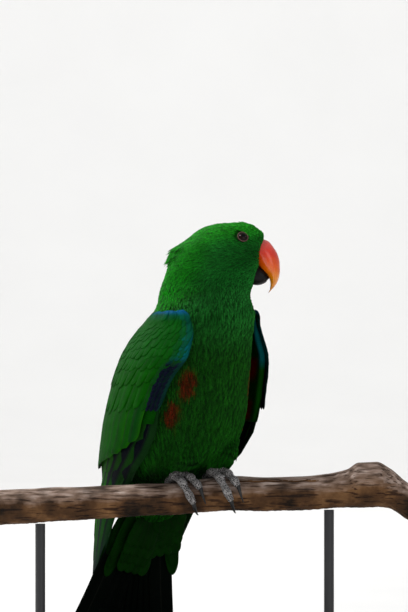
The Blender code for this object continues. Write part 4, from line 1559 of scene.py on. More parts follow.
@dataclass
class Wing:
    """A folded wing: a feathered arm under tiers of overlapping vanes."""

    name: str
    side: int
    rows: int = 13
    columns: int = 7
    thick: float = 0.3
    rise: float = 0.36
    steepest: float = 0.34
    seed: int = 21
    primaries: tuple[tuple[float, float], ...] = (
        (76.0, 0.08), (66.0, 0.30), (62.0, 0.55), (68.0, 0.80), (82.0, 0.88), (98.0, 0.90),
        (113.0, 0.90), (128.0, 0.88), (142.0, 0.86))
    secondary_tips: tuple[float, ...] = (181.0, 176.0, 171.5, 167.5, 164.5, 162.0, 160.0, 158.0,
                                         157.0, 157.5, 160.0, 164.0, 168.0)
    tiers: tuple[tuple[float, ...], ...] = (
        (14, 257.0, 209.0, 0.05, 0.97, 14.0, 2.2, 5.0),
        (16, 264.0, 229.0, 0.05, 0.97, 12.5, 2.3, 4.0),
        (18, 269.0, 241.0, 0.05, 0.97, 11.5, 2.4, 3.0),
        (20, 273.0, 250.0, 0.04, 0.97, 10.5, 2.5, 2.0),
        (20, 276.0, 257.0, 0.04, 0.97, 10.0, 2.6, 2.0),
        (20, 279.0, 263.5, 0.03, 0.97, 9.5, 2.6, 1.5),
        (20, 281.5, 268.5, 0.03, 0.98, 9.0, 2.6, 1.5),
        (20, 284.0, 273.0, 0.02, 0.98, 9.0, 2.5, 1.0),
        (18, 286.0, 277.0, 0.0, 1.0, 9.0, 2.2, 0.6))

    def rows_of(self) -> list[list[Quill]]:
        """Lists every tier of feathers.

        Returns:
            Tiers of quills, each from the wing's front to its back.
        """
        long_t, hand_t, short_t = (0.0, 0.25, 0.55, 1.0), (0.0, 0.13, 1.0), (0.0, 0.3, 0.76, 1.0)
        tiers = [[Quill(Kind.PRIMARY, (218.0 - i * 0.8, 0.05 + 0.066 * i), (z, q), 17.0, hand_t,
                        (0.0, -1.6, 1.2)) for i, (z, q) in enumerate(self.primaries)]]
        count = len(self.secondary_tips)
        tiers.append([Quill(Kind.SECONDARY, (230.0, 0.17 + 0.8 * i / (count - 1)),
                            (z, 0.17 + 0.8 * i / (count - 1)), 16.0, long_t,
                            (0.0, 1.4, 2.4, 3.2)) for i, z in enumerate(self.secondary_tips)])
        for number, root_z, tip_z, low, high, width, lift, droop in self.tiers:
            row = []
            for i in range(int(number)):
                t = i / (number - 1)
                q = low + (high - low) * t
                wave = droop * math.sin(math.pi * t) + 1.4 * math.sin(2.4 * i + root_z)
                arch = smooth(258.0, 284.0, root_z) * min(26.0 * (t - 0.25) ** 2, 9.0)
                row.append(Quill(Kind.COVERT, (root_z - arch, q), (tip_z - wave - arch, q), width,
                                 short_t, (0.0, 0.6 * lift, 0.95 * lift, lift)))
            tiers.append(row)
        for step in range(15):
            top = 224.0 + 4.0 * step
            tiers.append([Quill(Kind.BEND, (top, q), (top - 18.0, q + 0.01), 6.0, short_t,
                                (0.3, 1.2, 2.2, 2.6)) for q in (0.005, 0.04, 0.075)])
        return tiers

    def shade(self, quill: Quill, z: Array, across: Array, along: Array, luck: float) -> Array:
        """Colours of a feather.

        Args:
            quill: The feather.
            z: Heights of its points.
            across: Place across it, -1 at the edge toward the wing's front.
            along: Place along it.
            luck: This feather's own brightness.

        Returns:
            One colour a point.
        """
        q = quill.root[1]
        base = blend(Green.WING_MID.tone(), Green.WING_TOP.tone(), smooth(226.0, 272.0, z))
        edge = smooth(0.62, 0.98, np.abs(across)) * smooth(0.2, 0.6, along)
        rim = Green.WING_EDGE.tone()
        if quill.kind is Kind.PRIMARY:
            base = blend(Green.BLACK.tone(), Green.NAVY.tone(), 0.5)
            web = smooth(-0.05, -0.35, across) * smooth(0.98, 0.7, along)
            base = blend(base, rim * 0.62, web * (0.15 + 0.8 * min(q * 3, 1.0)))
            edge = edge * 0.15
        elif quill.kind is Kind.SECONDARY:
            base = base * 0.9
            base = blend(base, Green.NAVY.tone(), smooth(0.22, 0.16, q) * 0.25)
            base = blend(base, Green.BLACK.tone(), smooth(0.55, 0.9, across) * 0.45)
            base = blend(base, rim, smooth(-0.5, -0.95, across) * 0.4)
        elif quill.kind is Kind.BEND:
            low = smooth(252.0, 242.0, z)
            base = blend(Green.TURQUOISE.tone(), Green.NAVY.tone(), low)
            base = blend(base, Green.WING_TOP.tone(), smooth(0.0, 0.075, q) * 0.9 * (1.0 - low))
            if q < 0.02:
                thin = low * smooth(-0.5, -0.9, across) * 0.4
                base = blend(base, Green.TURQUOISE.tone() * 0.6, thin)
                edge = np.maximum(edge, smooth(-0.2, -0.9, across) * low * 0.9)
        else:
            front = smooth(0.11, 0.02, q) * smooth(246.0, 254.0, z)
            base = blend(base, Green.TURQUOISE.tone() * 0.7, front * 0.5)
            top = smooth(277.0, 283.0, z) * smooth(0.9, 0.5, q)
            base = blend(base, Green.TURQUOISE.tone() * 0.9, top * 0.3)
            base = blend(base, Green.RIM_BLUE.tone(), smooth(282.0, 285.5, z) * 0.75)
            dark = smooth(0.14, 0.06, q) * smooth(250.0, 240.0, z)
            base = blend(base, Green.NAVY.tone(), dark * 0.9)
            base = blend(base, Green.BLACK.tone(), smooth(0.89, 0.95, q) * 0.75)
        base = blend(base, rim, edge * 0.1)
        # Painted shade: each feather darkens toward its root, under the feathers that overlap it.
        depth = 0.78 + 0.22 * smooth(0.1, 0.7, along)
        return np.clip(base * depth[..., None] * luck, 0.0, 1.0)

    def vane(self, sheet: VaneSheet, quill: Quill, neighbour: Quill,
             random: np.random.Generator) -> None:
        """Adds one feather.

        Args:
            sheet: The sheet it goes into.
            quill: The feather.
            neighbour: The feather beside it toward the front.
            random: Source of its unevenness.
        """
        t = 1.0 - (1.0 - np.linspace(0.0, 1.0, self.rows)) ** 1.25
        s = np.linspace(-1.0, 1.0, self.columns)
        z = quill.root[0] + (quill.tip[0] - quill.root[0]) * t
        scale = WING.at(z)[:, 0] * math.pi / 180.0
        pitch = np.maximum(np.abs(neighbour.degrees(z) - quill.degrees(z)) * scale, 0.5)
        slope = np.minimum(self.rise / pitch, self.steepest)
        half = quill.width / 2.0 * vane_width(t, quill.kind) * random.uniform(0.95, 1.07)
        lift = np.interp(t, quill.stations, quill.lifts) + random.uniform(-0.15, 0.15)
        run = (quill.degrees(z - 1.0) - quill.degrees(z + 1.0)) / 2.0 * scale
        lean, flat = run / np.hypot(run, 1.0), 1.0 / np.hypot(run, 1.0)
        step = half[:, None] * s[None, :]
        tilt = random.normal(0.0, 0.03)
        heights = z[:, None] + step * (lean[:, None] + tilt)
        degrees = quill.degrees(z)[:, None] + step * (flat / scale)[:, None]
        bow = -0.6 * (half[:, None] / 8.0) * s[None, :] ** 2
        level = lift[:, None] - slope[:, None] * step + bow
        wafer = self.thick * (1.0 - 0.7 * s[None, :] ** 2) * (1.0 - 0.6 * t[:, None])
        shaft = 0.22 * np.exp(-(s[None, :] / 0.16) ** 2) * (1.0 - 0.7 * t[:, None])
        upper = wing_point(self.side, degrees, heights, level + shaft)
        lower = wing_point(self.side, degrees, heights, level - wafer)
        across, along = np.broadcast_arrays(s[None, :], t[:, None])
        tint = self.shade(quill, heights, across, along, random.uniform(0.9, 1.12))
        sheet.add(upper, lower, tint)

    def arm(self) -> tuple[Array, Array, Array]:
        """The feathered arm under the quills.

        Returns:
            Its outer grid, its inner grid and their colours.
        """
        z, columns = np.linspace(196.0, 284.5, 24)[::-1], np.linspace(0.02, 0.98, 24)
        span, wing, trunk = SPAN.at(z), WING.at(z), TRUNK.at(z)
        room = np.minimum(wing[:, 0] - trunk[:, 3], wing[:, 1] - trunk[:, 5])
        depth = np.clip(room - 0.8, 2.0, 4.6)
        degrees = span[:, :1] + (span[:, 1:] - span[:, :1]) * columns[None, :]
        heights = np.broadcast_to(z[:, None], degrees.shape)
        upper = wing_point(self.side, degrees, heights, np.full_like(degrees, -0.3))
        inner = -np.broadcast_to(depth[:, None], degrees.shape)
        lower = wing_point(self.side, degrees, heights, inner)
        q = np.broadcast_to(columns[None, :], degrees.shape)
        tint = blend(Green.TURQUOISE.tone(), Green.WING_MID.tone() * 0.8,
                     smooth(247.0, 238.0, heights))
        tint = blend(tint, Green.WING_MID.tone() * 0.8, smooth(0.05, 0.1, q))
        red = smooth(0.08, 0.12, q) * smooth(0.36, 0.28, q)
        red = red * np.maximum(smooth(228.0, 233.0, heights) * smooth(250.0, 245.0, heights),
                               smooth(196.0, 200.0, heights) * smooth(216.0, 211.0, heights))
        tint = blend(tint, Green.RED.tone() * 1.3, red * (self.side < 0))
        return upper, lower, blend(tint, Green.WING_MID.tone() * 0.6, smooth(0.4, 0.6, q))

    def build(self, material: Material) -> Object:
        """Builds the wing.

        Args:
            material: Its material.

        Returns:
            The wing.
        """
        random = np.random.default_rng(self.seed + self.side)
        sheet = VaneSheet(self.name, 16)
        sheet.add(*self.arm())
        for row in self.rows_of():
            for i, quill in enumerate(row):
                self.vane(sheet, quill, row[i - 1] if i else row[1], random)
        made = sheet.finish(material)
        return stand_in(made, "green_wing", self.name)


@dataclass
class Tail:
    """Twelve broad tail feathers with coverts above and below their roots."""

    long: float = 97.0
    pairs: int = 6
    rise: float = 1.06
    root_shift: float = 4.0
    tip_shift: float = 8.0
    lobes: tuple[tuple[float, ...], ...] = ((48.0, 2.0, 2.5, 4.2, 7.0),
                                            (34.0, -3.0, -4.0, -4.6, -7.6))
    rows: int = 16
    columns: int = 7
    seed: int = 31

    def vane(self, sheet: VaneSheet, down: tuple[float, float], across: tuple[float, float],
             out: tuple[float, float], width: float, kind: Kind, bow: float,
             tint: Array, random: np.random.Generator) -> None:
        """Adds one feather.

        Args:
            sheet: The sheet it goes into.
            down: Distances below the rump of root and tip.
            across: Distances to the right of root and tip.
            out: Distances toward the back of root and tip.
            width: Its width.
            kind: Its kind.
            bow: How far it bends at its middle.
            tint: Its colour.
            random: Source of its unevenness.
        """
        t = 1.0 - (1.0 - np.linspace(0.0, 1.0, self.rows)) ** 1.3
        s = np.linspace(-1.0, 1.0, self.columns)
        lean = (across[1] - across[0]) / max(down[1] - down[0], 1.0)
        half = (width / 2.0 * vane_width(t, kind))[:, None]
        low = (down[0] + (down[1] - down[0]) * t)[:, None] - lean * half * s
        side = (across[0] + (across[1] - across[0]) * (0.75 * t + 0.25 * t * t))[:, None] + half * s
        level = (out[0] + (out[1] - out[0]) * t + bow * np.sin(math.pi * t))[:, None]
        level = level - 0.5 * s ** 2 * np.sign(out[0] + 3.0)
        wafer = 0.25 * (1.0 - 0.6 * s ** 2) * (1.0 - 0.5 * t)[:, None]
        upper, lower = (tail_place(low, side, level + wafer), tail_place(low, side, level - wafer))
        along = np.broadcast_to(t[:, None], low.shape)
        # Painted shade: each vane darkens toward its root, where others overlap it.
        shade = (0.6 + 0.4 * smooth(0.0, 0.5, along))[..., None] * tint
        sheet.add(upper, lower, np.clip(shade * random.uniform(0.8, 1.25), 0.0, 1.0))

    def build(self, material: Material) -> Object:
        """Builds the tail.

        Args:
            material: Its material.

        Returns:
            The tail.
        """
        random = np.random.default_rng(self.seed)
        sheet = VaneSheet("tail", 12)
        turn = np.linspace(0.0, math.tau, 25)
        level = 0.0
        for pair in range(self.pairs):
            for half in (1, -1):
                drop = 0.0 if pair < 4 else (pair - 3) * 1.2
                fan, spread = (3.6, 7.8) if half > 0 else (2.8, 6.4)
                self.vane(sheet, (9.0 + 0.6 * pair, self.long - drop),
                          (half * (pair + 0.5) * fan + self.root_shift,
                           half * (pair + 0.5) * spread + self.tip_shift),
                          (1.9 - 0.32 * level, 3.6 - level), 20.0, Kind.TAIL, 0.0,
                          Green.BLACK.tone(), random)
                level += self.rise if pair < 2 else self.rise / 2
        for row in range(4):
            for step in range(5):
                place = (step - 2.0 + 0.5 * (row % 2)) / 2.5
                self.vane(sheet, (1.0 + 3.0 * row, 18.0 + 7.0 * row),
                          (place * 12.0, place * (14.0 - row)), (7.6 - 1.1 * row, 8.9 - 1.2 * row),
                          11.0, Kind.LOBE, 0.6, Green.BACK.tone() * 0.8, random)
        for length, root, tip, root_step, tip_step in self.lobes:
            for row in range(4):
                for step in range(4):
                    end = length - 7.0 * (3 - row) - 1.5 * step
                    self.vane(sheet, (max(end - 26.0, 0.0), end),
                              (root + root_step * step, tip + tip_step * step),
                              (-5.0 - 1.2 * (3 - row), -8.6 - 0.9 * (3 - row) - 0.2 * step), 13.0,
                              Kind.LOBE, -0.6, Green.COVERT.tone(), random)
        for half in (1, -1):
            for step in range(5):
                self.vane(sheet, (-18.0 + 5.0 * step, 20.0 + 7.0 * step),
                          (half * (18.0 + 0.8 * step) + 1.0, half * (27.5 + 0.7 * step) + 2.0),
                          (-4.0 + 0.6 * step, -5.0 + 0.6 * step), 13.0, Kind.LOBE, -0.6,
                          Green.COVERT.tone(), random)
        for step in range(4):
            self.vane(sheet, (-16.0 + 5.0 * step, 22.0 + 8.0 * step), (26.0 + step, 33.5 + step),
                      (-1.5 + 0.5 * step, -2.0 + 0.5 * step), 15.0, Kind.LOBE, -0.4,
                      Green.COVERT.tone() * 0.6, random)
        stub = [(np.full(25, down), wide * np.sin(turn), -deep * np.cos(turn))
                for down, wide, deep in ((0.0, 18.0, 11.0), (9.0, 15.5, 7.8), (18.0, 12.5, 5.2),
                                         (27.0, 8.0, 2.6))]
        root = loft("tail_root", [tail_place(*ring)[:-1] for ring in stub], material,
                    colours=np.array([Green.COVERT.tone()] * 2 + [Green.BLACK.tone()] * 2))
        return stand_in(joined([sheet.finish(material), root]), "black_tail", "tail")


# Head's firm parts


EYE_RADIUS = 4.5
EYE_HEIGHT = 345.0
EYE_ALONG = 15.5
EYE_PROUD = 1.5


def eye_place(side: int) -> tuple[Array, Array]:
    """Middle of an eyeball and the direction it looks in.

    Args:
        side: 1 for the bird's right.

    Returns:
        The middle in millimetres and a unit vector.
    """
    angle = math.acos(EYE_ALONG / float(TRUNK.at(EYE_HEIGHT)[4]))
    skin = trunk_point(EYE_HEIGHT, angle * side)
    along = trunk_point(EYE_HEIGHT, (angle + 0.05) * side) - skin
    up = trunk_point(EYE_HEIGHT + 1.0, angle * side) - skin
    out = np.cross(along, up)
    out /= np.linalg.norm(out)
    if out.dot(trunk_point(EYE_HEIGHT, 0.0) - skin) > 0:
        out = -out
    return skin - out * (EYE_RADIUS - EYE_PROUD), out


@dataclass
class Eye:
    """A dark eye with a dark brown iris, inside a ring of bare lid skin."""

    name: str
    side: int
    lid_radius: float = 4.15
    lid_thick: float = 0.38
    rows: int = 72
    columns: int = 64
    lid_rows: int = 96
    lid_columns: int = 14
    lid_level: float = 2.6

    def basis(self) -> tuple[Array, Array, Array, Array]:
        """Middle of the eye and its three directions.

        Returns:
            The middle, two directions across and the way it looks.
        """
        centre, out = eye_place(self.side)
        across = np.cross(out, (0.0, 0.0, 1.0))
        across /= np.linalg.norm(across)
        return centre, across, np.cross(out, across), out

    def build(self, ball: Material, lid: Material) -> list[Object]:
        """Builds ball and lid ring.

        Args:
            ball: The ball's material.
            lid: The lid's material.

        Returns:
            Both pieces.
        """
        centre, across, other, out = self.basis()
        turns = even_turns(self.columns)
        spokes = np.cos(turns)[:, None] * across + np.sin(turns)[:, None] * other
        tilts = np.linspace(0.02, math.pi - 0.05, self.rows)
        rings = [centre + EYE_RADIUS * (math.sin(a) * spokes + math.cos(a) * out) for a in tilts]
        degrees = np.degrees(tilts)
        iris, pupil = linear(30, 11, 7), linear(2, 2, 2)
        colours = blend(pupil, iris, smooth(21.0, 24.0, degrees))
        colours = blend(colours, linear(16, 8, 6), smooth(38.0, 47.0, degrees))
        made = loft(self.name, rings, ball, colours=colours)
        ring = []
        for k in range(self.lid_rows):
            a = math.tau * k / self.lid_rows
            spoke = across * math.cos(a) + other * math.sin(a)
            wave = 1.0 + 0.10 * math.sin(23 * a) + 0.06 * math.sin(37 * a + 1.0)
            around = even_turns(self.lid_columns)
            thick = self.lid_thick * wave
            ring.append(centre + spoke * (self.lid_radius + thick * np.cos(around))[:, None]
                        + out * (self.lid_level + thick * np.sin(around) * 0.8)[:, None])
        points = np.concatenate(ring)
        faces = grid_faces(self.lid_rows + 1, self.lid_columns, closed=True)
        faces = [tuple(i % len(points) for i in face) for face in faces]
        lids = outward(new_object("lid_" + self.name[4:], points, faces, lid))
        return [stand_in(made, "eye_dark", self.name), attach(lids, "root")]


@dataclass
class Bill:
    """The deep hooked upper bill and the short lower one."""

    upper: tuple[tuple[float, ...], ...] = (
        (46.0, 343.5, 36.0, 328.0, 8.5), (51.2, 341.6, 41.0, 325.0, 10.0),
        (55.6, 336.6, 43.4, 322.0, 10.6), (59.0, 330.6, 45.0, 319.6, 10.6),
        (60.6, 324.0, 47.2, 317.2, 9.9), (60.8, 317.6, 50.2, 314.6, 8.6),
        (60.0, 312.2, 52.4, 310.6, 6.6), (58.2, 307.8, 53.0, 306.6, 4.4),
        (55.4, 303.8, 52.6, 303.0, 2.4))
    upper_tip: tuple[float, float] = (51.2, 299.6)
    lower: tuple[tuple[float, ...], ...] = (
        (37.0, 306.8, 38.0, 323.0, 8.6), (42.6, 306.2, 43.6, 322.4, 8.6),
        (46.8, 307.0, 47.4, 319.6, 7.9), (50.0, 308.8, 50.4, 316.0, 5.8))
    lower_tip: tuple[float, float] = (52.6, 312.4)
    rings: int = 60
    sides: int = 72

    def form(self, name: str, rows: tuple[tuple[float, ...], ...], tip: tuple[float, float],
             material: Material) -> Object:
        """Builds one half of the bill.

        Args:
            name: Its name.
            rows: Outer and inner points and half width of each ring.
            tip: Its end in x and z.
            material: Its material.

        Returns:
            The piece.
        """
        row = TRUNK.at(325.0)
        middle = float(bird(row[0], row[1], 325.0)[1])
        line = Profile([(float(i), *values) for i, values in enumerate(rows)])
        turns = even_turns(self.sides)
        rings = []
        for key in np.linspace(0.0, len(rows) - 1, self.rings):
            outer_x, outer_z, inner_x, inner_z, wide = line.at(key)
            mid = np.array(((outer_x + inner_x) / 2, middle, (outer_z + inner_z) / 2))
            arm = np.array(((outer_x - inner_x) / 2, 0.0, (outer_z - inner_z) / 2))
            keel = 1.0 - 0.16 * np.maximum(np.cos(turns), 0.0) ** 2
            side = np.zeros((self.sides, 3))
            side[:, 1] = -wide * np.sin(turns) * keel
            rings.append(mid + arm * np.cos(turns)[:, None] + side)
        end = np.array((tip[0], middle, tip[1]))
        last = rings[-1]
        for share in (0.3, 0.55, 0.75, 0.9):
            rings.append(end + (last - end) * math.sqrt(1.0 - share ** 2) * (1 - 0.25 * share)
                         + (last.mean(axis=0) - end) * (1.0 - share) * 0.35)
        made = loft(name, rings, material, (None, end))
        return stand_in(made, "bill_orange" if name == "bill_upper" else "bill_black", name)

    def build(self, upper: Material, lower: Material) -> list[Object]:
        """Builds both halves, each of its own material."""
        return [self.form("bill_upper", self.upper, self.upper_tip, upper),
                self.form("bill_lower", self.lower, self.lower_tip, lower)]


# Feet, branch and stand


def round_perch(x: Array, degrees: Array, height: Array) -> Array:
    """Points over the bark.

    Args:
        x: Place along the perch.
        degrees: Angle from its top toward the viewer.
        height: Height over the bark.

    Returns:
        Points in millimetres.
    """
    row = PERCH.at(x)
    angle = np.radians(degrees)
    reach = row[..., 1] + height
    return np.stack([x, -reach * np.sin(angle), row[..., 0] + reach * np.cos(angle)],
                    axis=-1) + FRAME_SHIFT


@dataclass
class Foot:
    """A foot with two toes forward and two back round the branch, and its claws."""

    word: str
    palm_x: float
    toe_radius: float = 3.6
    toe_clear: float = 0.55
    claw_radius: float = 1.75
    palm_height: float = 5.2
    skin_cell: float = 0.00042
    sides: int = 28
    toes: tuple[tuple[str, float, float, float, float], ...] = (
        ("front_outer", -3.4, 11.5, 104.0, 158.0), ("front_inner", 4.4, 17.0, 66.0, 112.0),
        ("rear_outer", -4.0, -13.0, -92.0, -140.0), ("rear_inner", 4.0, -3.5, -66.0, -112.0))

    def toe(self, start: float, end: float, last: float) -> tuple[Array, Array]:
        """Middle line and thickness of a toe.

        Args:
            start: Its root's place beside the palm.
            end: Its tip's place.
            last: Angle of its tip round the branch.

        Returns:
            Points and radii.
        """
        t = np.linspace(0.0, 1.0, 60)
        x = self.palm_x + start + (end - start) * t
        radius = self.toe_radius * (1.0 - 0.14 * t) + 0.42 * np.cos(math.tau * 2.5 * t)
        scutes = 0.16 * np.cos(math.tau * 13.0 * t)
        return round_perch(x, last * (0.04 + 0.96 * t), radius + self.toe_clear), radius + scutes

    def claw(self, start: float, end: float, last: float, tip: float) -> tuple[Array, Array]:
        """Middle line and thickness of a claw.

        Args:
            start: The toe root's place beside the palm.
            end: The toe tip's place.
            last: Angle where the claw starts.
            tip: Angle where it ends.

        Returns:
            Points and radii.
        """
        t = np.linspace(0.0, 1.0, 28)
        angle = last + (tip - last) * t
        slope = (end - start) / abs(last)
        x = self.palm_x + end + slope * np.abs(angle - last) * 0.5
        radius = self.claw_radius * (1.0 - 0.86 * t) + 0.1
        height = self.toe_clear + self.toe_radius * 0.8 * (1.0 - t) + 1.6 * t + 2.0 * t * (1 - t)
        return round_perch(x, angle, height), radius

    def build(self, skin: Material, horn: Material) -> list[Object]:
        """Builds the foot and its claws.

        Args:
            skin: Material of the scaly skin.
            horn: Material of the claws.

        Returns:
            All pieces.
        """
        palm = round_perch(np.array(self.palm_x), 0.0, self.palm_height)
        ankle = np.array((self.palm_x, 3.6, 163.5)) + FRAME_SHIFT
        t = np.linspace(0.0, 1.0, 12)[:, None]
        shank = tube("shank", palm + (0.0, 0.5, -0.6) + (ankle - palm) * t,
                     np.linspace(4.9, 4.2, 12), self.sides, skin)
        turn = even_turns(self.sides)
        rings = [palm + 4.6 * np.stack([math.sin(a) * np.cos(turn), math.sin(a) * np.sin(turn),
                                        np.full(self.sides, math.cos(a))], axis=1)
                 for a in np.linspace(0.1, math.pi - 0.1, 14)]
        parts = [shank, loft("palm", rings, skin)]
        pieces = []
        for name, start, end, last, tip in self.toes:
            parts.append(tube(name, *self.toe(start, end, last), 26, skin, 0.92))
            claw = tube(name, *self.claw(start, end, last, tip), 20, horn)
            pieces.append(stand_in(claw, "claw_black", f"claw_{self.word}_{name}"))
        foot = welded(parts, "foot_" + self.word, skin, self.skin_cell, 3)
        return [stand_in(foot, "scale_grey", "foot_" + self.word), *pieces]


@dataclass
class Branch:
    """The bare branch the bird grips, with a knob and a dry crack."""

    rings: int = 420
    sides: int = 150
    crack: tuple[float, float] = (20.0, 98.0)
    crack_angle: float = -39.0

    def build(self, material: Material) -> Object:
        """Builds the branch.

        Args:
            material: Its material.

        Returns:
            The branch.
        """
        x = np.linspace(PERCH_STATIONS[0][0], PERCH_STATIONS[-1][0], self.rings)[:, None]
        a = even_turns(self.sides)[None, :]
        row = PERCH.at(x[:, 0])
        z, radius = row[:, :1], row[:, 1:]
        reach = radius - 0.45 + 0.25 * np.sin(3 * a + 0.09 * x) + 0.2 * np.sin(5 * a - 0.17 * x)
        low = smooth(0.3, -0.4, np.cos(a))
        rough = (np.sin(9 * a + 0.31 * x) * np.sin(0.43 * x + 2 * a)
                 + 0.6 * np.sin(17 * a - 0.22 * x) * np.sin(0.9 * x + 5 * a))
        reach = reach + 0.25 * low * rough - 0.25 * low
        turn = np.degrees(np.arctan2(np.sin(a), np.cos(a)))
        line = self.crack_angle + 3.0 * np.sin(0.12 * x) + 1.4 * np.sin(0.41 * x)
        first, last = self.crack
        inside = smooth(first, first + 12, x) * smooth(last, last - 20, x)
        groove = np.exp(-((turn - line) / 3.2) ** 2) * inside
        reach = reach - 2.0 * groove
        points = np.stack([np.broadcast_to(x, reach.shape), reach * np.sin(a),
                           z + reach * np.cos(a)], axis=-1) + FRAME_SHIFT
        made = loft("perch", list(points), material)
        # Painted light and shade, kept as the attribute along: high on the top that faces the
        # light, low on the underside.
        painted_light = np.clip(0.5 + 0.55 * np.cos(a - math.radians(-12)), 0, 1) * np.ones_like(reach)
        # Painted shade: the crack takes the lowest value, so it shows dark brown as a shaded
        # groove.
        painted_light = np.where(groove > 0.25, -1.0, painted_light)
        layer = made.data.attributes.new("along", "FLOAT", "POINT")
        layer.data.foreach_set("value", np.concatenate([painted_light.ravel(), [0.2, 0.2]]))
        return stand_in(made, "bark", "perch")


@dataclass
class Stand:
    """A plain base and two rods that hold the branch."""

    size: tuple[float, float, float] = (300.0, 176.0, 14.0)
    corner: float = 26.0
    bevel: float = 1.5
    rod_radius: float = 4.0
    gap: float = 0.3
    rods: tuple[tuple[str, float], ...] = (("left", -131.0), ("right", 100.0))
    sides: int = 160
    rod_sides: int = 48

    def ring(self, inset: float, z: float) -> Array:
        """Outline of the base.

        Args:
            inset: Distance inward from its sides.
            z: Height.

        Returns:
            Points in millimetres.
        """
        a = even_turns(self.sides) + 0.01
        way = np.stack([np.cos(a), np.sin(a)], axis=1)
        middle = np.sign(way) * (np.array(self.size[:2]) / 2 - self.corner)
        flat = middle + way * (self.corner - inset)
        return np.column_stack([flat, np.full(len(a), z)])

    def build(self, material: Material) -> list[Object]:
        """Builds base and rods.

        Args:
            material: Their material.

        Returns:
            The pieces.
        """
        turns = np.linspace(0.0, math.pi / 2, 6)
        thick = self.size[2]
        rings = [self.ring(self.bevel * (1 - math.sin(t)), self.bevel * (1 - math.cos(t)))
                 for t in turns]
        rings += [self.ring(self.bevel * (1 - math.cos(t)), thick - self.bevel * (1 - math.sin(t)))
                  for t in turns]
        base = loft("stand_base", rings, material)
        base.data.shade_smooth()
        pieces = [stand_in(base, "stand_paint", "stand_base")]
        turn = even_turns(self.rod_sides)
        for word, x in self.rods:
            row = PERCH.at(x)
            top = float(row[0] - row[1]) - self.gap
            circle = np.stack([x + self.rod_radius * np.cos(turn),
                               self.rod_radius * np.sin(turn) + FRAME_SHIFT[1]], axis=1)
            levels = (thick + self.gap, thick + self.gap + 0.4, top - 0.4, top)
            rings = [np.column_stack([circle, np.full(self.rod_sides, z)]) for z in levels]
            rod = loft("rod", rings, material)
            pieces.append(stand_in(rod, "stand_paint", "stand_rod_" + word))
        return pieces


@dataclass
class Room:
    """Pale floor and backdrop, soft lights and the camera."""

    floor: tuple[float, float, float] = (0.86, 0.85, 0.83)
    camera_place: tuple[float, float, float] = (0.0, -4.022, 0.2896)
    lens: float = 294.1
    front: float = -9.0
    behind: float = 4.2
    bend: float = 1.6
    top: float = 8.0
    half_width: float = 12.0
    lights: tuple[tuple[str, tuple[float, float, float], tuple[float, float, float], float,
                        float], ...] = (
        ("key", (-1.3, -0.5, 2.3), (0.0, 0.0, 0.25), 44.0, 0.8),
        ("rim", (-1.8, 1.3, 1.3), (0.0, 0.0, 0.25), 34.0, 0.7),
        ("fill", (1.6, -2.4, 1.0), (0.0, 0.0, 0.25), 12.0, 2.0),
        ("wash", (0.0, 2.6, 3.2), (0.0, 5.8, 1.0), 90.0, 3.0))

    def build(self, material: Material) -> None:
        """Builds the room.

        Args:
            material: The floor's material.
        """
        arc = np.linspace(0.0, math.pi / 2, 16)
        curve = [(self.behind + self.bend * math.sin(a), self.bend - self.bend * math.cos(a))
                 for a in arc]
        profile = [(self.front, 0.0), *curve, (self.behind + self.bend, self.top)]
        wide = (-self.half_width, self.half_width)
        points = np.array([(x, y, z) for y, z in profile for x in wide]) / MM
        sweep = new_object("floor", points, grid_faces(len(profile), 2), material)
        world = bpy.data.worlds.new("studio")
        world.use_nodes = True
        back = world.node_tree.nodes["Background"]
        back.inputs["Color"].default_value = (0.92, 0.95, 1.0, 1.0)
        back.inputs["Strength"].default_value = 0.42
        bpy.context.scene.world = world
        bpy.context.scene.view_settings.view_transform = "Standard"
        for name, place, aim, power, size in self.lights:
            lamp = bpy.data.lights.new(name, "AREA")
            lamp.energy = power
            lamp.size = size
            made = linked(name, lamp)
            made.location = place
            way = Vector(aim) - Vector(place)
            made.rotation_euler = way.to_track_quat("-Z", "Y").to_euler()
        data = bpy.data.cameras.new("camera")
        data.lens = self.lens
        data.sensor_width = 36.0
        data.clip_end = 50.0
        camera = linked("camera", data)
        camera.location = self.camera_place
        camera.rotation_euler = (math.pi / 2, 0.0, 0.0)
        bpy.context.scene.camera = camera


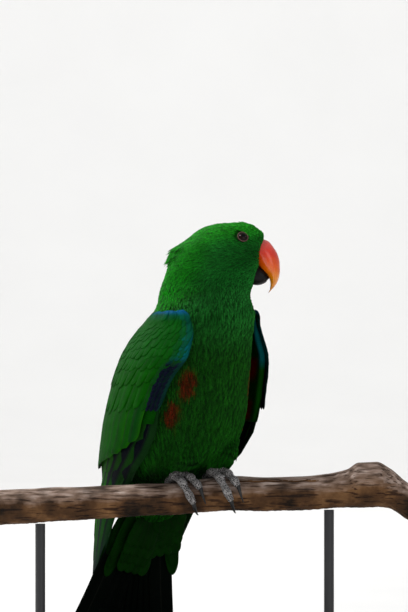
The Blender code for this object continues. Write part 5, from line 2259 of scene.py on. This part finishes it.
@dataclass
class Parrot:
    """Builds the whole model piece by piece."""

    trunk: Trunk = field(default_factory=Trunk)

    def coat(self, material: Material) -> list[Object]:
        """Covers trunk and thighs with tufts.

        Args:
            material: The coat's material.

        Returns:
            The pieces of coat.
        """
        shapes = TuftSet()
        spreader = TuftSpreader(shapes, material)
        pieces = []
        for word, seeds in (("coat", self.trunk.roots()),
                            ("coat_thighs", self.trunk.thigh_roots())):
            order = np.argsort(seeds.place[:, 2], kind="stable")
            chunks = math.ceil(len(order) / self.trunk.piece_limit)
            LOG.info("%s: %d tufts in %d pieces", word, len(order), chunks)
            for number, chosen in enumerate(np.array_split(order, chunks)):
                made = spreader.spread(f"{word}_{number:02d}", seeds.part(chosen), number)
                pieces.append(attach(made, "root"))
        shapes.remove()
        return pieces

    def build(self) -> list[Object]:
        """Builds every piece in order.

        Returns:
            The pieces.
        """
        soft, firm = CoatFinish().make(), VaneFinish().make()
        # The skin has no along attribute, so this finish gives it the tufts' painted root shade in
        # full.
        under = CoatFinish("plumage_skin", roughness=0.8, sheen=0.0, stranded=False).make()
        skin = self.trunk.skin(under)
        stand_in(skin, "green_body", "torso", "head", "neck", "thigh_left", "thigh_right")
        pieces = [skin, *self.coat(soft)]
        for side, word in ((1, "right"), (-1, "left")):
            pieces.append(Wing("wing_" + word, side).build(firm))
        pieces.append(Tail().build(firm))
        # Upper bill from tip to root: yellow, orange, red, then a pale pink at the root that is red
        # with a painted highlight.
        stops = ((0.0, linear(206, 132, 30)), (0.25, linear(240, 138, 4)),
                 (0.48, linear(240, 92, 6)), (0.7, linear(232, 48, 14)),
                 (0.95, linear(238, 92, 80)))
        upper = HornFinish("bill_horn", stops, low=0.300, high=0.345).make()
        dark = ((0.0, linear(9, 8, 7)), (1.0, linear(6, 6, 6)))
        lower = HornFinish("bill_dark", dark, low=0.300, high=0.325, roughness=0.42, coat=0.04,
                           gloss=0.16).make()
        pieces += Bill().build(upper, lower)
        ball = EyeFinish().make()
        lid = PlainFinish("lid_skin", linear(92, 60, 54), 0.65, grain=900.0).make()
        for side, word in ((1, "right"), (-1, "left")):
            pieces += Eye("eye_" + word, side).build(ball, lid)
        scales = ScaleFinish().make()
        horn = PlainFinish("claw_horn", linear(16, 15, 14), 0.45).make()
        for word, palm_x in (("right", -20.0), ("left", 10.0)):
            pieces += Foot(word, palm_x).build(scales, horn)
        pieces.append(Branch().build(BarkFinish().make()))
        paint = PlainFinish("stand_satin", linear(38, 38, 40), 0.42, grain=80.0).make()
        pieces += Stand().build(paint)
        return pieces


def main() -> None:
    """Builds the model and the room, and reports each piece."""
    total = 0
    for made in Parrot().build():
        count = sum(len(p.vertices) - 2 for p in made.data.polygons)
        total += count
        LOG.info("%s: %d triangles", made.name, count)
    LOG.info("whole model: %d triangles", total)
    floor = PlainFinish("floor_paint", Room.floor, 0.9, grain=6.0, depth=0.0, cloud=0.01).make()
    Room().build(floor)


if __name__ == "__main__":
    main()
